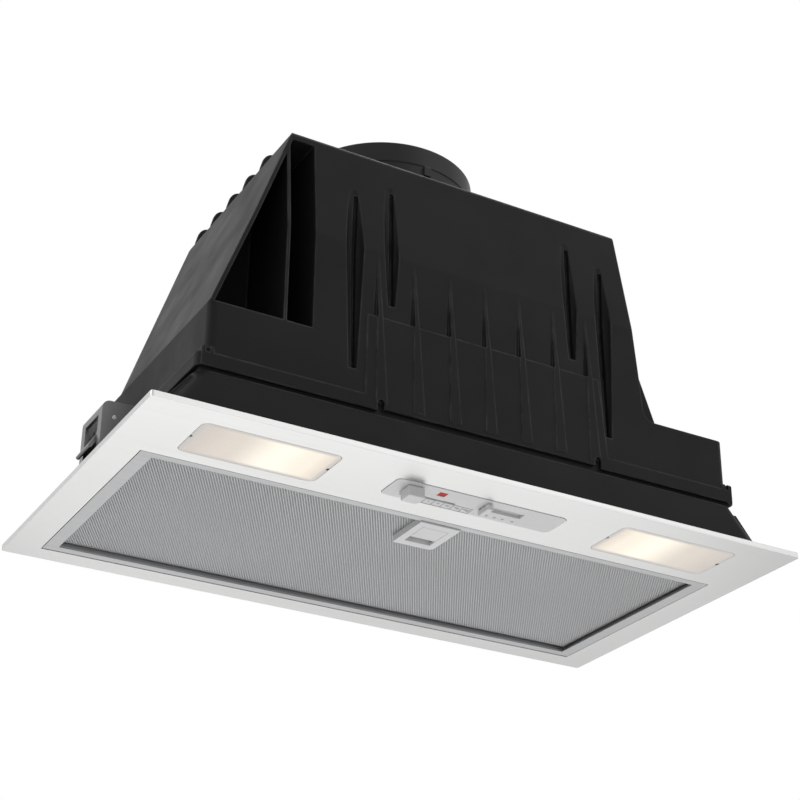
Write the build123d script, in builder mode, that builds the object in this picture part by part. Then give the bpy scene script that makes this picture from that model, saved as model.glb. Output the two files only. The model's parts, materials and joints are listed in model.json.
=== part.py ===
from build123d import *
import os
from math import cos, hypot, radians, sin

os.makedirs("parts", exist_ok=True)

# A built-in ceiling range hood. Millimetres, +Z up. The origin is the centre of the cabinet
# cut-out, in the plane of the cabinet's underside, on which the panel's rim seats.
# -Y is the front, where the lamps and the sliders are.

# ---- driving dimensions ----------------------------------------------------------------

# facia panel, a shallow tray of sheet steel
panel_width = 534.0
panel_depth = 300.0
panel_sheet = 1.0
panel_corner = 2.0
rim_height = 4.2
insert_gap = 0.3            # round each piece that is let into the panel

# openings of the panel, placed from its edges
front_strip = 79.5          # ahead of the filter opening
rear_strip = 19.5
side_strip = 25.0
lamp_window_width = 105.0
lamp_window_depth = 48.5
lamp_window_corner = 6.0
lamp_end = 97.5             # from a lamp's middle to the panel's end
lamp_front = 42.5           # from the panel's front edge to a lamp's middle
control_width = 143.0
control_depth = 29.5
control_corner = 5.0
control_x = 2.5
control_front = 43.3        # from the panel's front edge to the strip's middle

# base tray: a floor inside the panel and a sloping skirt that fills the cabinet cut-out
panel_cover_side = 12.5     # how far the panel reaches past the skirt's foot
panel_cover_depth = 18.0
foot_corner = 14.0
tray_floor = 2.5
tray_flange = 10.0          # how far the floor reaches past the skirt
skirt_wall = 2.2
skirt_height = 38.2
skirt_setback = 0.5         # the skirt's top stands back from the band
skirt_top_corner = 12.0
floor_opening_gap = 1.0     # the floor's filter opening stands back this far from the panel's
insert_ledge = 3.0          # an insert's face overlaps the floor by this much
gusset_y = -122.0
gusset_thickness = 2.0
gusset_reach = 2.5
gusset_z = (5.0, 33.0)

# fan housing: band, lower box, and the tapered upper body
shadow_gap = 3.5            # between the skirt's top and the band's bottom
housing_wall = 3.0
skirt_side_run = 26.5       # from the skirt's foot to the band, seen from the front
skirt_front_run = 5.0
band_height = 10.5
band_side_step = 7.0        # the box stands back from the band by this much
band_front_step = 1.0
band_corner = 6.0
band_rise = 1.7             # between its two notches the band's edge is higher
lip_wall = 2.5
lip_gap = 0.3
shelf_z = 93.0
top_z = 261.0
top_width = 321.0
rear_bottom_step = 14.0     # the upper body stands back from the box's rear
rear_top_step = 34.0
rear_bottom_corner = 80.0
rear_top_corner = 20.0
top_edge_radius = 5.0
kink_z = 171.5              # the front face leans back above this height
lean_back = 8.8
post_x = 220.5
post_width = 9.0
post_depth = 8.0
post_top_z = 56.5
post_slot = 3.0
post_round = 2.0

# central block and the recesses beside it
block_left_x = -142.5
block_right_x = 145.0
block_right_kink_x = 137.5
block_right_top_x = 129.3
shoulder_fillet = 10.0
recess_back_y = -60.0
recess_roof = 8.0           # solid height left above the recesses
recess_corner = 4.0
rib_x = -164.0
rib_thickness = 2.5
scoop_front_y = -112.0

# raised field, pleats and flutes of the front face
field_top_left_x = -99.0
field_low_left_x = -99.8
field_top_right_x = 101.9
field_low_right_x = 107.9
field_top_z = 116.5
pleat_count = 7
pleat_pitch = 30.5
pleat_spread = 9.5
pleat_tip = 0.8
pleat_proud = 0.8
pleat_groove_left = 2.6
pleat_groove_right = 0.9
pleat_groove_top_z = 155.0
pleat_groove_depth = 2.0
flute_wall = 4.5
flute_run_out = 0.5         # a flute's depth behind the leaning face at its upper end
long_flute_x = 110.0
long_flute_bottom_z = 69.5
long_flute_top_z = 223.0
long_flute_radius = 7.5
long_flute_foot_radius = 3.3
short_flute_x = 79.3
short_flute_bottom_z = 128.5
short_flute_top_z = 236.0
short_flute_radius = 6.0
short_flute_foot_radius = 3.2
flute_slot_start = 0.4      # from the flute's middle to the slot's left side
flute_slot_foot = 2.2       # the slot's width at its foot, and above
flute_slot_width = 3.4
flute_slot_depth = 3.0      # deeper than the flute itself
flute_slot_end = 5.0        # below the flute's upper end
hook_notch_width = 5.5
hook_notch_height = 8.7
hook_notch_x = (-87.2, 98.6)

# stiffening fins on the top plate
fin_count = 5
fin_pitch = 30.8
fin_first_y = -60.0
fin_height = 15.3
fin_thickness = 2.5
fin_rise = 4.0
fin_end_x = -108.0
fin_round = 10.0

# duct collar for a 150 mm duct, with its two non-return flaps
collar_x = -20.7
collar_radius = 74.65
collar_wall = 2.5
collar_height = 58.5
collar_neck = 0.6           # the collar is this much slimmer below the duct's seat
duct_overlap = 17.5         # how much of the collar the duct slides over
collar_flange_radius = 84.0
collar_flange = 3.0
seat_ring_reach = 5.0
seat_ring = 2.0
seat_ring_rise = 14.0
flap_thickness = 1.2
flap_rim_gap = 0.6
flap_seat_gap = 0.3
flap_pin_radius = 1.5
flap_knuckle_radius = 2.8
flap_knuckle_length = 10.0
flap_knuckle_gap = 0.4
pin_clearance = 0.05
flap_left_knuckle_y = 22.0
flap_right_knuckle_y = 44.0
flap_pin_seat = 1.5
lug_count = 4
lug_width = 6.0
lug_reach = 2.2
lug_height = 8.5
lug_drop = 1.2              # the lugs stop this far below the duct's seat

# blower: a double-inlet wheel in a spiral casing that opens into the collar
wheel_y = 5.0
wheel_z = 138.0
wheel_radius = 62.0
wheel_width = 100.0
wheel_web = 2.5
wheel_ring = 3.0
blade_count = 32
blade_depth = 13.0
blade_thickness = 1.2
blade_low_gap = 0.5         # between a blade's ends and the rings' edges
blade_high_gap = 0.7
hub_radius = 11.0
hub_length = 18.0
shaft_radius = 4.0
shaft_clearance = 0.05
motor_radius = 38.0
motor_length = 56.0
motor_gap = 4.0
scroll_wall = 2.0
scroll_square = 9.0         # side of the square whose corners are the spiral's centres
tongue_gap = 7.0
scroll_side_gap = 6.0
inlet_radius = 54.0
inlet_lip = 7.0
bracket_arm_width = 12.0
bracket_arm_thickness = 3.0
outlet_margin = 1.0

# grease filter: a framed cassette of perforated sheet, hinged at the rear
filter_side_gap = 0.6
filter_rear_gap = 1.5
filter_sheet = 1.0
filter_lip_side = 10.5
filter_lip_front = 6.5
filter_lip_rear = 8.0
cassette_wall = 1.2
cassette_inset = 7.0
cassette_height = 9.0
mesh_depth = 3.0            # from the frame's upper face to the perforated sheet
mesh_thickness = 0.8
back_thickness = 0.8
core_pitch = 16.0
core_sheet = 0.6
core_flat = 2.0
hinge_margin = 6.5          # from the opening's rear edge to the hinge axis
hinge_rise = 2.6            # hinge axis above the panel's underside
hinge_pin_radius = 1.0
hinge_pin_length = 5.5      # past the filter's frame
hinge_pin_root = 2.0
hinge_ear_depth = 6.0
hinge_lug_height = 5.0
hinge_lug_depth = 8.0

# latch of the filter
latch_x = -1.0
latch_width = 34.0
latch_depth = 43.0
latch_margin = 6.6          # from the opening's front edge to the latch
latch_corner = 5.0
latch_proud = 1.0
latch_roof = 1.0
latch_flange = 1.5
latch_skin = 2.0            # plate left below the wider part of its pocket
latch_slider_width = 21.4
latch_slider_depth = 19.4
latch_slider_front = 8.0
latch_recess = 8.4
latch_slide_gap = 0.3
latch_bolt_width = 10.0
bolt_keeper_gap = 0.4
bolt_nose = 0.8
finger_round = 0.6

# sliders, their switch and the indicator
plate_proud = 0.4
fan_knob_width = 13.0
fan_knob_depth = 12.7
fan_knob_height = 8.0
fan_knob_x = -51.5
fan_knob_front = 33.5       # this and the next ones are from the panel's front edge
fan_knob_foot = 2.9
fan_knob_foot_height = 2.2
fan_slot_front = 47.4
fan_travel = 36.0
slot_width = 1.5
stem_gap = 0.2
stem_length = 6.0
light_knob_width = 4.4
light_knob_depth = 14.8
light_knob_height = 4.6
light_knob_x = 9.4
light_knob_front = 33.2
light_slot_front = 38.4
light_slot_width = 7.6
light_slot_recess = 2.4
light_travel = 28.0
light_slot_margin = 2.0
knob_gap = 0.2
knob_round = 0.8
indicator_x = -28.6
indicator_front = 37.5
indicator_size = 6.6
indicator_sunk = 0.4
indicator_depth = 3.0
strip_left_x = -35.5
strip_right_x = 3.8
strip_front = 48.6
strip_depth = 8.6
strip_line = 0.5
symbol_proud = 0.12
symbol_count = 5
symbol_height = 3.4
symbol_low_share = 0.45     # of the full height, for the first bar of each symbol
symbol_pitch = 1.1
mark_x = (17.7, 24.5, 31.4, 39.9)
mark_front = 53.0
mark_size = 2.6
switch_height = 14.0
switch_margin = 9.0

# lamps behind the frosted windows
reflector_wall = 1.2
reflector_height = 21.0
reflector_taper = 10.0
reflector_gap = 3.6         # from the skirt's inside to the reflector
bulb_radius = 6.5
bulb_length = 38.0
bulb_tip = 3.9
holder_size = 15.0
holder_length = 12.0
lens_notch = 2.0

# side clips that hold the hood up in the cabinet cut-out
clip_length = 40.0
clip_cheek = 2.5
clip_foot_z = 2.0
clip_top_z = 54.3
clip_corner = 6.0
clip_window_margin = 7.0
clip_window_bottom = 9.8
clip_window_top = 44.8
clip_seat_gap = 0.3
pawl_set_back = 9.5         # from the clip's outer face to the pawl's pin
pawl_pivot_z = 41.8
pawl_pin_radius = 1.5
pawl_thickness = 3.0
pawl_knuckle_radius = 3.6
pawl_tip_reach = 4.5        # past the clip's outer face
pawl_tip_z = 18.8
pawl_nose_share = 0.4       # of the pawl's thickness
pawl_side_gap = 0.5
pawl_spring_radius = 3.0
pawl_spring_wire = 0.9
pawl_spring_turns = 4
pawl_coil_room = 10.0
pawl_leg_share = 0.6         # of the pawl's length

# electrical pieces inside and the cable's inlet
terminal_width = 56.0
terminal_depth = 26.0
terminal_height = 30.0
terminal_end = 43.0         # from the box's end to the terminal box's middle
terminal_z = 67.8
terminal_cover = 2.0
capacitor_radius = 15.0
capacitor_length = 48.0
capacitor_x = 90.0
terminal_screw_reach = 20.0
terminal_boss = 3.5
gland_radius = 10.0
gland_bore = 3.8
gland_length = 14.0
gland_shoulder = 2.0

# screws
screw_head_radius = 3.6
screw_head_height = 2.2
screw_shank_radius = 1.7
screw_shank_length = 8.0
housing_screw_end = 48.0    # from the band's end to the outer screws
housing_screw_x = 70.0
housing_screw_z = 46.0
flange_screw_angles = (30, 150, 210, 330)

# ---- worked-out levels ------------------------------------------------------------------

panel_under = -rim_height
panel_inside = panel_under + panel_sheet
panel_front_y = -panel_depth / 2
filter_opening_width = panel_width - 2 * side_strip
filter_opening_depth = panel_depth - front_strip - rear_strip
filter_opening_front_y = panel_front_y + front_strip
filter_opening_rear_y = filter_opening_front_y + filter_opening_depth
filter_opening_y = (filter_opening_front_y + filter_opening_rear_y) / 2
lamp_x = panel_width / 2 - lamp_end
lamp_y = panel_front_y + lamp_front
control_y = panel_front_y + control_front
foot_width = panel_width - 2 * panel_cover_side
foot_depth = panel_depth - 2 * panel_cover_depth
floor_top = panel_inside + tray_floor
skirt_top = floor_top + skirt_height
band_bottom = skirt_top + shadow_gap
band_top = band_bottom + band_height
band_width = foot_width - 2 * skirt_side_run
band_depth = foot_depth - 2 * skirt_front_run
skirt_top_width = band_width - 2 * skirt_setback
skirt_top_depth = band_depth - 2 * skirt_setback
lip_top = band_top - housing_wall
box_width = band_width - 2 * band_side_step
box_depth = band_depth - 2 * band_front_step
box_front_y = -box_depth / 2
band_front_y = -band_depth / 2
rear_bottom_y = box_depth / 2 - rear_bottom_step
rear_top_y = box_depth / 2 - rear_top_step
top_inside = top_z - housing_wall
shelf_inside = shelf_z - housing_wall
recess_top = top_z - recess_roof
side_slope = (box_width - top_width) / 2 / (top_z - shelf_z)
rear_slope = (rear_bottom_y - rear_top_y) / (top_z - shelf_z)
side_wall = housing_wall * hypot(1, side_slope)
lean_slope = lean_back / (top_z - kink_z)
skirt_lean = (foot_width - skirt_top_width) / 2 / skirt_height
housing_screw_outer_x = band_width / 2 - housing_screw_end
housing_screws_x = (-housing_screw_outer_x, -housing_screw_x, housing_screw_x, housing_screw_outer_x)
terminal_x = box_width / 2 - terminal_end
recess_reach = 4 * housing_wall   # the recesses are cut from this far in front of the face
far = 2 * panel_width       # longer than anything that is cut
flange_screw_radius = (collar_radius + collar_flange_radius) / 2
flange_screw_points = [
    (collar_x + flange_screw_radius * cos(radians(a)), flange_screw_radius * sin(radians(a)))
    for a in flange_screw_angles
]


def save(builder, name):
    """Label a finished sub-part and write it."""
    builder.part.label = name
    export_step(builder.part, f"parts/{name}.step")


# ---- facia panel ------------------------------------------------------------------------

with BuildPart() as facia_panel:
    with BuildSketch(Plane.XY.offset(panel_under)):
        RectangleRounded(panel_width, panel_depth, panel_corner)
    extrude(amount=rim_height)
    with BuildSketch(Plane.XY.offset(panel_inside)):
        RectangleRounded(
            panel_width - 2 * panel_sheet, panel_depth - 2 * panel_sheet, panel_corner - panel_sheet
        )
    extrude(amount=rim_height, mode=Mode.SUBTRACT)
    with BuildSketch(Plane.XY.offset(panel_under)):
        with Locations((0, filter_opening_y)):
            Rectangle(filter_opening_width, filter_opening_depth)
        with Locations((-lamp_x, lamp_y), (lamp_x, lamp_y)):
            RectangleRounded(lamp_window_width, lamp_window_depth, lamp_window_corner)
        with Locations((control_x, control_y)):
            RectangleRounded(control_width, control_depth, control_corner)
    extrude(amount=panel_sheet, mode=Mode.SUBTRACT)
save(facia_panel, "facia_panel")

# ---- base tray --------------------------------------------------------------------------

lip_outer_width = band_width - 2 * housing_wall - 2 * lip_gap
lip_outer_depth = band_depth - 2 * housing_wall - 2 * lip_gap
lip_outer_corner = band_corner - housing_wall
lip_inner_width = lip_outer_width - 2 * lip_wall
lip_inner_depth = lip_outer_depth - 2 * lip_wall
hinge_y = filter_opening_rear_y - hinge_margin
hinge_z = panel_under + hinge_rise
hinge_lug_x = filter_opening_width / 2 + floor_opening_gap
reflector_front_y = -foot_depth / 2 + skirt_wall + reflector_gap
lamp_hole_front_y = reflector_front_y + reflector_wall
lamp_hole_rear_y = lamp_y + lamp_window_depth / 2 - insert_ledge
lamp_hole_depth = lamp_hole_rear_y - lamp_hole_front_y
lamp_hole_y = (lamp_hole_rear_y + lamp_hole_front_y) / 2
lamp_hole_width = lamp_window_width - 2 * insert_ledge

with BuildPart() as base_tray:
    with BuildSketch(Plane.XY.offset(panel_inside)):
        RectangleRounded(foot_width + 2 * tray_flange, foot_depth + 2 * tray_flange, foot_corner)
    extrude(amount=tray_floor)
    with BuildSketch(Plane.XY.offset(floor_top)):
        RectangleRounded(foot_width, foot_depth, foot_corner)
    with BuildSketch(Plane.XY.offset(skirt_top)):
        RectangleRounded(skirt_top_width, skirt_top_depth, skirt_top_corner)
    loft(ruled=True)
    # the hollow under the shoulder keeps the skirt's wall
    with BuildSketch(Plane.XY.offset(floor_top)):
        RectangleRounded(
            foot_width - 2 * skirt_wall, foot_depth - 2 * skirt_wall, foot_corner - skirt_wall
        )
    with BuildSketch(Plane.XY.offset(skirt_top - tray_floor)):
        RectangleRounded(
            skirt_top_width - 2 * skirt_wall,
            skirt_top_depth - 2 * skirt_wall,
            skirt_top_corner - skirt_wall,
        )
    loft(ruled=True, mode=Mode.SUBTRACT)
    # upstanding lip that centres the fan housing
    with BuildSketch(Plane.XY.offset(skirt_top - tray_floor)):
        RectangleRounded(lip_outer_width, lip_outer_depth, lip_outer_corner)
    extrude(amount=lip_top - skirt_top + tray_floor)
    with BuildSketch(Plane.XY.offset(skirt_top - tray_floor)):
        RectangleRounded(lip_inner_width, lip_inner_depth, lip_outer_corner - lip_wall)
    extrude(amount=far, mode=Mode.SUBTRACT)
    # lugs for the filter's hinge pins, beside the rear corners of the opening
    with Locations((0, hinge_y, panel_inside)):
        Box(
            foot_width - 2 * skirt_wall, hinge_lug_depth, hinge_lug_height,
            align=(Align.CENTER, Align.CENTER, Align.MIN),
        )
    with BuildSketch(Plane.XY.offset(panel_inside)):
        with Locations((0, filter_opening_y)):
            Rectangle(
                filter_opening_width + 2 * floor_opening_gap, filter_opening_depth + 2 * floor_opening_gap
            )
    extrude(amount=hinge_lug_height, mode=Mode.SUBTRACT)
    with BuildSketch(Plane.XY.offset(panel_inside)):
        with Locations((-lamp_x, lamp_hole_y), (lamp_x, lamp_hole_y)):
            Rectangle(lamp_hole_width, lamp_hole_depth)
        with Locations((control_x, control_y)):
            Rectangle(control_width - 2 * insert_ledge, control_depth - 2 * insert_ledge)
    extrude(amount=tray_floor, mode=Mode.SUBTRACT)
    with BuildSketch(Plane.YZ.offset(-foot_width / 2 + skirt_wall)):
        with Locations((hinge_y, hinge_z)):
            Circle(hinge_pin_radius + pin_clearance)
    extrude(amount=foot_width - 2 * skirt_wall, mode=Mode.SUBTRACT)
    with BuildSketch(Plane.XZ.offset(-lip_outer_depth / 2)):
        with Locations(*[(x, housing_screw_z) for x in housing_screws_x]):
            Circle(screw_shank_radius)
    extrude(amount=lip_wall, mode=Mode.SUBTRACT)
    # thin gusset on each side of the skirt, near its front corner
    gusset_foot_x = foot_width / 2 - (gusset_z[0] - floor_top) * skirt_lean
    gusset_head_x = foot_width / 2 - (gusset_z[1] - floor_top) * skirt_lean
    for side in (-1, 1):
        with BuildSketch(Plane.XZ.offset(-gusset_y)):
            Polygon(
                (side * (gusset_foot_x - skirt_wall), gusset_z[0]),
                (side * (gusset_foot_x + gusset_reach), gusset_z[0]),
                (side * gusset_head_x, gusset_z[1]),
                (side * (gusset_head_x - skirt_wall), gusset_z[1]),
                align=None,
            )
        extrude(amount=gusset_thickness / 2, both=True)
save(base_tray, "base_tray")

# ---- fan housing ------------------------------------------------------------------------


def wing_loft(shrink, bottom_z, top, reach=0):
    """The tapered upper body between two heights, drawn in by a wall on each side.
    Its front face stays in place, or reaches out by the amount given."""
    sections = []
    for z in (bottom_z, top):
        half = box_width / 2 - (z - shelf_z) * side_slope - shrink
        rear = rear_bottom_y - (z - shelf_z) * rear_slope - shrink
        share = (z - shelf_z) / (top_z - shelf_z)
        corner = rear_bottom_corner + (rear_top_corner - rear_bottom_corner) * share - shrink
        front = box_front_y - reach
        with BuildSketch(Plane.XY.offset(z)) as section:
            with Locations((0, (front + rear) / 2)):
                Rectangle(2 * half, rear - front)
            fillet(section.vertices().group_by(Axis.Y)[-1], radius=corner)
        sections.append(section.sketch)
    loft(sections, ruled=True)


def lean_cut(front_y):
    """Take off what stands in front of the leaning part of the face."""
    with BuildSketch(Plane.YZ.offset(-far / 2)) as side:
        Polygon(
            (front_y, kink_z),
            (front_y + (far - kink_z) * lean_slope, far),
            (front_y - far, far),
            (front_y - far, kink_z),
            align=None,
        )
    extrude(side.sketch, amount=far, mode=Mode.SUBTRACT)


def block_side(shrink):
    """The right side of the central block, as points from the bottom up."""
    return [
        (block_right_x - shrink, shelf_z),
        (block_right_kink_x - shrink, kink_z),
        (block_right_top_x - shrink, top_z),
    ]


# what stays hollow: the upper body behind the recesses
with BuildPart() as rear_cavity:
    wing_loft(side_wall, shelf_inside, top_inside)
    with BuildSketch(Plane.XY.offset(shelf_inside)):
        with Locations((0, recess_back_y + housing_wall)):
            Rectangle(far, far, align=(Align.CENTER, Align.MIN))
    extrude(amount=far, mode=Mode.INTERSECT)

# and the hollow of the central block, in front of it
with BuildPart() as block_cavity:
    right_low, right_mid, right_high = block_side(housing_wall)
    with BuildSketch(Plane.XZ.offset(-recess_back_y - housing_wall * 2)):
        Polygon(
            (block_left_x + housing_wall, shelf_inside),
            (right_low[0], shelf_inside),
            right_mid,
            (right_high[0], top_inside),
            (block_left_x + housing_wall, top_inside),
            align=None,
        )
    extrude(amount=-box_front_y - housing_wall + recess_back_y + 2 * housing_wall)
    lean_cut(box_front_y + housing_wall)

# scooped pocket between the sloping side and the upright rib, open to the front
with BuildPart() as scoop:
    wing_loft(side_wall, shelf_z, recess_top, recess_reach)
    scoop_right = rib_x - rib_thickness / 2
    scoop_left = -box_width / 2
    with BuildSketch(Plane.XY.offset(shelf_z)):
        with BuildLine():
            Line((scoop_left, scoop_front_y), (scoop_left, -far))
            Line((scoop_left, -far), (scoop_right, -far))
            Line((scoop_right, -far), (scoop_right, recess_back_y))
            TangentArc((scoop_right, recess_back_y), (scoop_left, scoop_front_y), tangent=(-1, 0))
        make_face()
    extrude(amount=far, mode=Mode.INTERSECT)

# upright recess between the rib and the central block, open to the front
with BuildPart() as side_recess:
    wing_loft(side_wall, shelf_z, recess_top, recess_reach)
    recess_left = rib_x + rib_thickness / 2
    with BuildSketch(Plane.XY.offset(shelf_z)) as recess_floor:
        with Locations((recess_left, recess_back_y)):
            Rectangle(block_left_x - recess_left, far, align=(Align.MIN, Align.MAX))
        fillet(recess_floor.vertices().group_by(Axis.Y)[-1], radius=recess_corner)
    extrude(amount=far, mode=Mode.INTERSECT)


def flute(x, size, grow, mode):
    """One half-round flute that widens up to the kink, or the boss that backs it."""
    bottom_z, top, foot_radius, radius = size
    end_radius = (top - kink_z) * lean_slope + flute_run_out
    with BuildSketch(Plane((x, box_front_y, 0), x_dir=(1, 0, 0), z_dir=(0, -1, 0))) as half:
        Polygon(
            (0, bottom_z - grow),
            (foot_radius + grow, bottom_z - grow),
            (radius + grow, kink_z),
            (end_radius + grow, top + grow),
            (0, top + grow),
            align=None,
        )
    spindle = Axis((x, box_front_y, 0), (0, 0, 1))
    revolve(half.sketch, axis=spindle, revolution_arc=180 if grow else 360, mode=mode)


def flute_slot(size):
    """The deep slot in the right half of a flute, drawn for a flute at x = 0."""
    bottom_z, top, foot_radius, radius = size
    slot_top = top - flute_slot_end
    end_radius = (top - kink_z) * lean_slope + flute_run_out
    with BuildPart() as slot:
        with BuildSketch(Plane.YZ):
            Polygon(
                (box_front_y - housing_wall, bottom_z),
                (box_front_y + foot_radius + flute_slot_depth, bottom_z),
                (box_front_y + radius + flute_slot_depth, kink_z),
                (box_front_y + end_radius + flute_slot_depth, top),
                (box_front_y - housing_wall, top),
                align=None,
            )
        extrude(amount=flute_slot_start + flute_slot_width)
        with BuildSketch(Plane.XZ.offset(-box_front_y - far / 2)):
            Polygon(
                (flute_slot_start, bottom_z),
                (flute_slot_start + flute_slot_foot, bottom_z),
                (flute_slot_start + flute_slot_width, kink_z),
                (flute_slot_start + flute_slot_width, slot_top),
                (flute_slot_start, slot_top),
                align=None,
            )
        extrude(amount=far, mode=Mode.INTERSECT)
    return slot.part


long_flute = (long_flute_bottom_z, long_flute_top_z, long_flute_foot_radius, long_flute_radius)
short_flute = (short_flute_bottom_z, short_flute_top_z, short_flute_foot_radius, short_flute_radius)
flutes = [
    (-long_flute_x, long_flute),
    (long_flute_x, long_flute),
    (-short_flute_x, short_flute),
    (short_flute_x, short_flute),
]

# one pleat: a wedge that widens downwards and stands a little proud of the raised field
pleat_low_z = band_bottom + band_height / 2
pleat_first_x = -pleat_pitch * (pleat_count - 1) / 2
with BuildPart() as pleat:
    pleat_face_y = band_front_y - pleat_proud
    with BuildSketch(Plane.YZ):
        Polygon(
            (box_front_y + housing_wall / 2, kink_z),
            (box_front_y, kink_z),
            (pleat_face_y, field_top_z),
            (pleat_face_y, pleat_low_z),
            (box_front_y + housing_wall / 2, pleat_low_z),
            align=None,
        )
    extrude(amount=pleat_spread)
    with BuildSketch(Plane.XZ.offset(-box_front_y - housing_wall)):
        Polygon(
            (0, band_bottom),
            (pleat_spread, band_bottom),
            (pleat_tip, kink_z),
            (0, kink_z),
            align=None,
        )
    extrude(amount=2 * housing_wall, mode=Mode.INTERSECT)

# the groove that deepens downwards beside it, above the field
with BuildPart() as pleat_groove:
    with BuildSketch(Plane.YZ.offset(-pleat_groove_left)):
        Polygon(
            (box_front_y, pleat_groove_top_z),
            (box_front_y + pleat_groove_depth, field_top_z),
            (band_front_y - housing_wall, field_top_z),
            (band_front_y - housing_wall, pleat_groove_top_z),
            align=None,
        )
    extrude(amount=pleat_groove_left + pleat_groove_right)
    with BuildSketch(Plane.XZ.offset(-box_front_y - far / 2)):
        Polygon(
            (-pleat_groove_left, field_top_z),
            (pleat_groove_right, field_top_z),
            (0, pleat_groove_top_z),
            (-pleat_groove_right, pleat_groove_top_z),
            align=None,
        )
    extrude(amount=far, mode=Mode.INTERSECT)

# slotted post on the band, near each front corner
with BuildPart() as post:
    with Locations((0, band_front_y, band_bottom)):
        Box(
            post_width, post_depth, post_top_z - band_bottom,
            align=(Align.CENTER, Align.MIN, Align.MIN),
        )
    fillet(post.faces().sort_by(Axis.Z)[-1].edges(), radius=post_round)
    with Locations((0, band_front_y, band_top)):
        Box(
            post_slot, post_slot, far,
            align=(Align.CENTER, Align.MIN, Align.MIN), mode=Mode.SUBTRACT,
        )

with BuildPart() as fan_housing:
    # tapered upper body with its leaning front face
    wing_loft(0, shelf_z, top_z)
    lean_cut(box_front_y)
    fillet(fan_housing.faces().sort_by(Axis.Z)[-1].edges(), radius=top_edge_radius)
    # the right front corner is set back behind the central block
    with BuildSketch(Plane.XZ.offset(-recess_back_y)) as set_back:
        low, mid, high = block_side(0)
        Polygon(
            low,
            mid,
            high,
            (high[0], top_z + housing_wall),
            (box_width, top_z + housing_wall),
            (box_width, shelf_z),
            align=None,
        )
        fillet(set_back.vertices().group_by(Axis.Y)[0].sort_by(Axis.X)[0], radius=shoulder_fillet)
    extrude(amount=far, mode=Mode.SUBTRACT)
    add(scoop.part, mode=Mode.SUBTRACT)
    add(side_recess.part, mode=Mode.SUBTRACT)
    # lower box and the band round its foot
    with BuildSketch(Plane.XY.offset(band_bottom)):
        RectangleRounded(box_width, box_depth, band_corner)
    extrude(amount=shelf_z - band_bottom)
    with BuildSketch(Plane.XY.offset(band_bottom)):
        RectangleRounded(band_width, band_depth, band_corner)
    extrude(amount=band_height)
    with Locations((-post_x, 0, 0), (post_x, 0, 0)):
        add(post.part)
    # raised field over the middle of the front
    with BuildSketch(Plane.XZ.offset(-box_front_y - housing_wall / 2)):
        Polygon(
            (field_low_left_x, band_bottom),
            (field_low_right_x, band_bottom),
            (field_low_right_x, band_top),
            (field_top_right_x, field_top_z),
            (field_top_left_x, field_top_z),
            (field_low_left_x, band_top),
            align=None,
        )
    extrude(amount=band_front_step + housing_wall / 2)
    with Locations(*[(pleat_first_x + i * pleat_pitch, 0, 0) for i in range(pleat_count)]):
        add(pleat.part)
    # hollow inside
    with BuildSketch(Plane.XY.offset(band_bottom)):
        RectangleRounded(
            band_width - 2 * housing_wall, band_depth - 2 * housing_wall, band_corner - housing_wall
        )
    extrude(amount=lip_top - band_bottom, mode=Mode.SUBTRACT)
    with BuildSketch(Plane.XY.offset(band_bottom)):
        RectangleRounded(
            box_width - 2 * housing_wall, box_depth - 2 * housing_wall, band_corner - housing_wall
        )
    extrude(amount=shelf_inside - band_bottom, mode=Mode.SUBTRACT)
    add(rear_cavity.part, mode=Mode.SUBTRACT)
    add(block_cavity.part, mode=Mode.SUBTRACT)
    # flutes, each backed by a boss inside, and the deep slot in each
    for x, size in flutes:
        flute(x, size, flute_wall, Mode.ADD)
    for x, size in flutes:
        flute(x, size, 0, Mode.SUBTRACT)
    lean_cut(box_front_y)
    for x, size in flutes:
        with Locations((x, 0, 0)):
            add(flute_slot(size), mode=Mode.SUBTRACT)
    with Locations(*[(pleat_first_x + i * pleat_pitch, 0, 0) for i in range(pleat_count)]):
        add(pleat_groove.part, mode=Mode.SUBTRACT)
    # fins on the left of the top plate
    with BuildSketch(Plane.XZ) as fin:
        fin_left_x = -top_width / 2
        Polygon(
            (fin_left_x, top_z - top_edge_radius),
            (fin_left_x, top_z),
            (fin_left_x + fin_rise, top_z + fin_height),
            (fin_end_x, top_z + fin_height),
            (fin_end_x, top_inside),
            (fin_left_x + 2 * top_edge_radius, top_inside),
            align=None,
        )
        fillet(fin.vertices().group_by(Axis.Y)[-1], radius=fin_round)
    fin_face = fin.sketch
    for i in range(fin_count):
        extrude(fin_face.moved(Location((0, fin_first_y + i * fin_pitch, 0))), amount=fin_thickness / 2,
                both=True)
    # outlet under the collar, the two hook notches in the band and its raised edge between them
    with BuildSketch(Plane.XY.offset(top_inside)):
        with Locations((collar_x, 0)):
            Circle(collar_radius - collar_wall - outlet_margin)
    extrude(amount=2 * housing_wall, mode=Mode.SUBTRACT)
    with BuildSketch(Plane.XZ.offset(-band_front_y - housing_wall)):
        for x in hook_notch_x:
            with Locations((x, band_bottom)):
                Rectangle(hook_notch_width, 2 * (hook_notch_height - hook_notch_width / 2))
            with Locations((x, band_bottom + hook_notch_height - hook_notch_width / 2)):
                Circle(hook_notch_width / 2)
        with Locations((hook_notch_x[0], band_bottom)):
            Rectangle(hook_notch_x[1] - hook_notch_x[0], band_rise, align=(Align.MIN, Align.MIN))
    extrude(amount=far, mode=Mode.SUBTRACT)
    # holes for the collar's screws, the rear screws and the cable gland
    with BuildSketch(Plane.XY.offset(top_inside)):
        with Locations(*flange_screw_points):
            Circle(screw_shank_radius)
    extrude(amount=housing_wall, mode=Mode.SUBTRACT)
    with BuildSketch(Plane.XZ.offset(-band_depth / 2)):
        with Locations(*[(x, housing_screw_z) for x in housing_screws_x]):
            Circle(screw_shank_radius)
        with Locations((terminal_x, terminal_z)):
            Circle(gland_radius - gland_shoulder)
    extrude(amount=housing_wall + band_front_step, mode=Mode.SUBTRACT)
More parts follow.
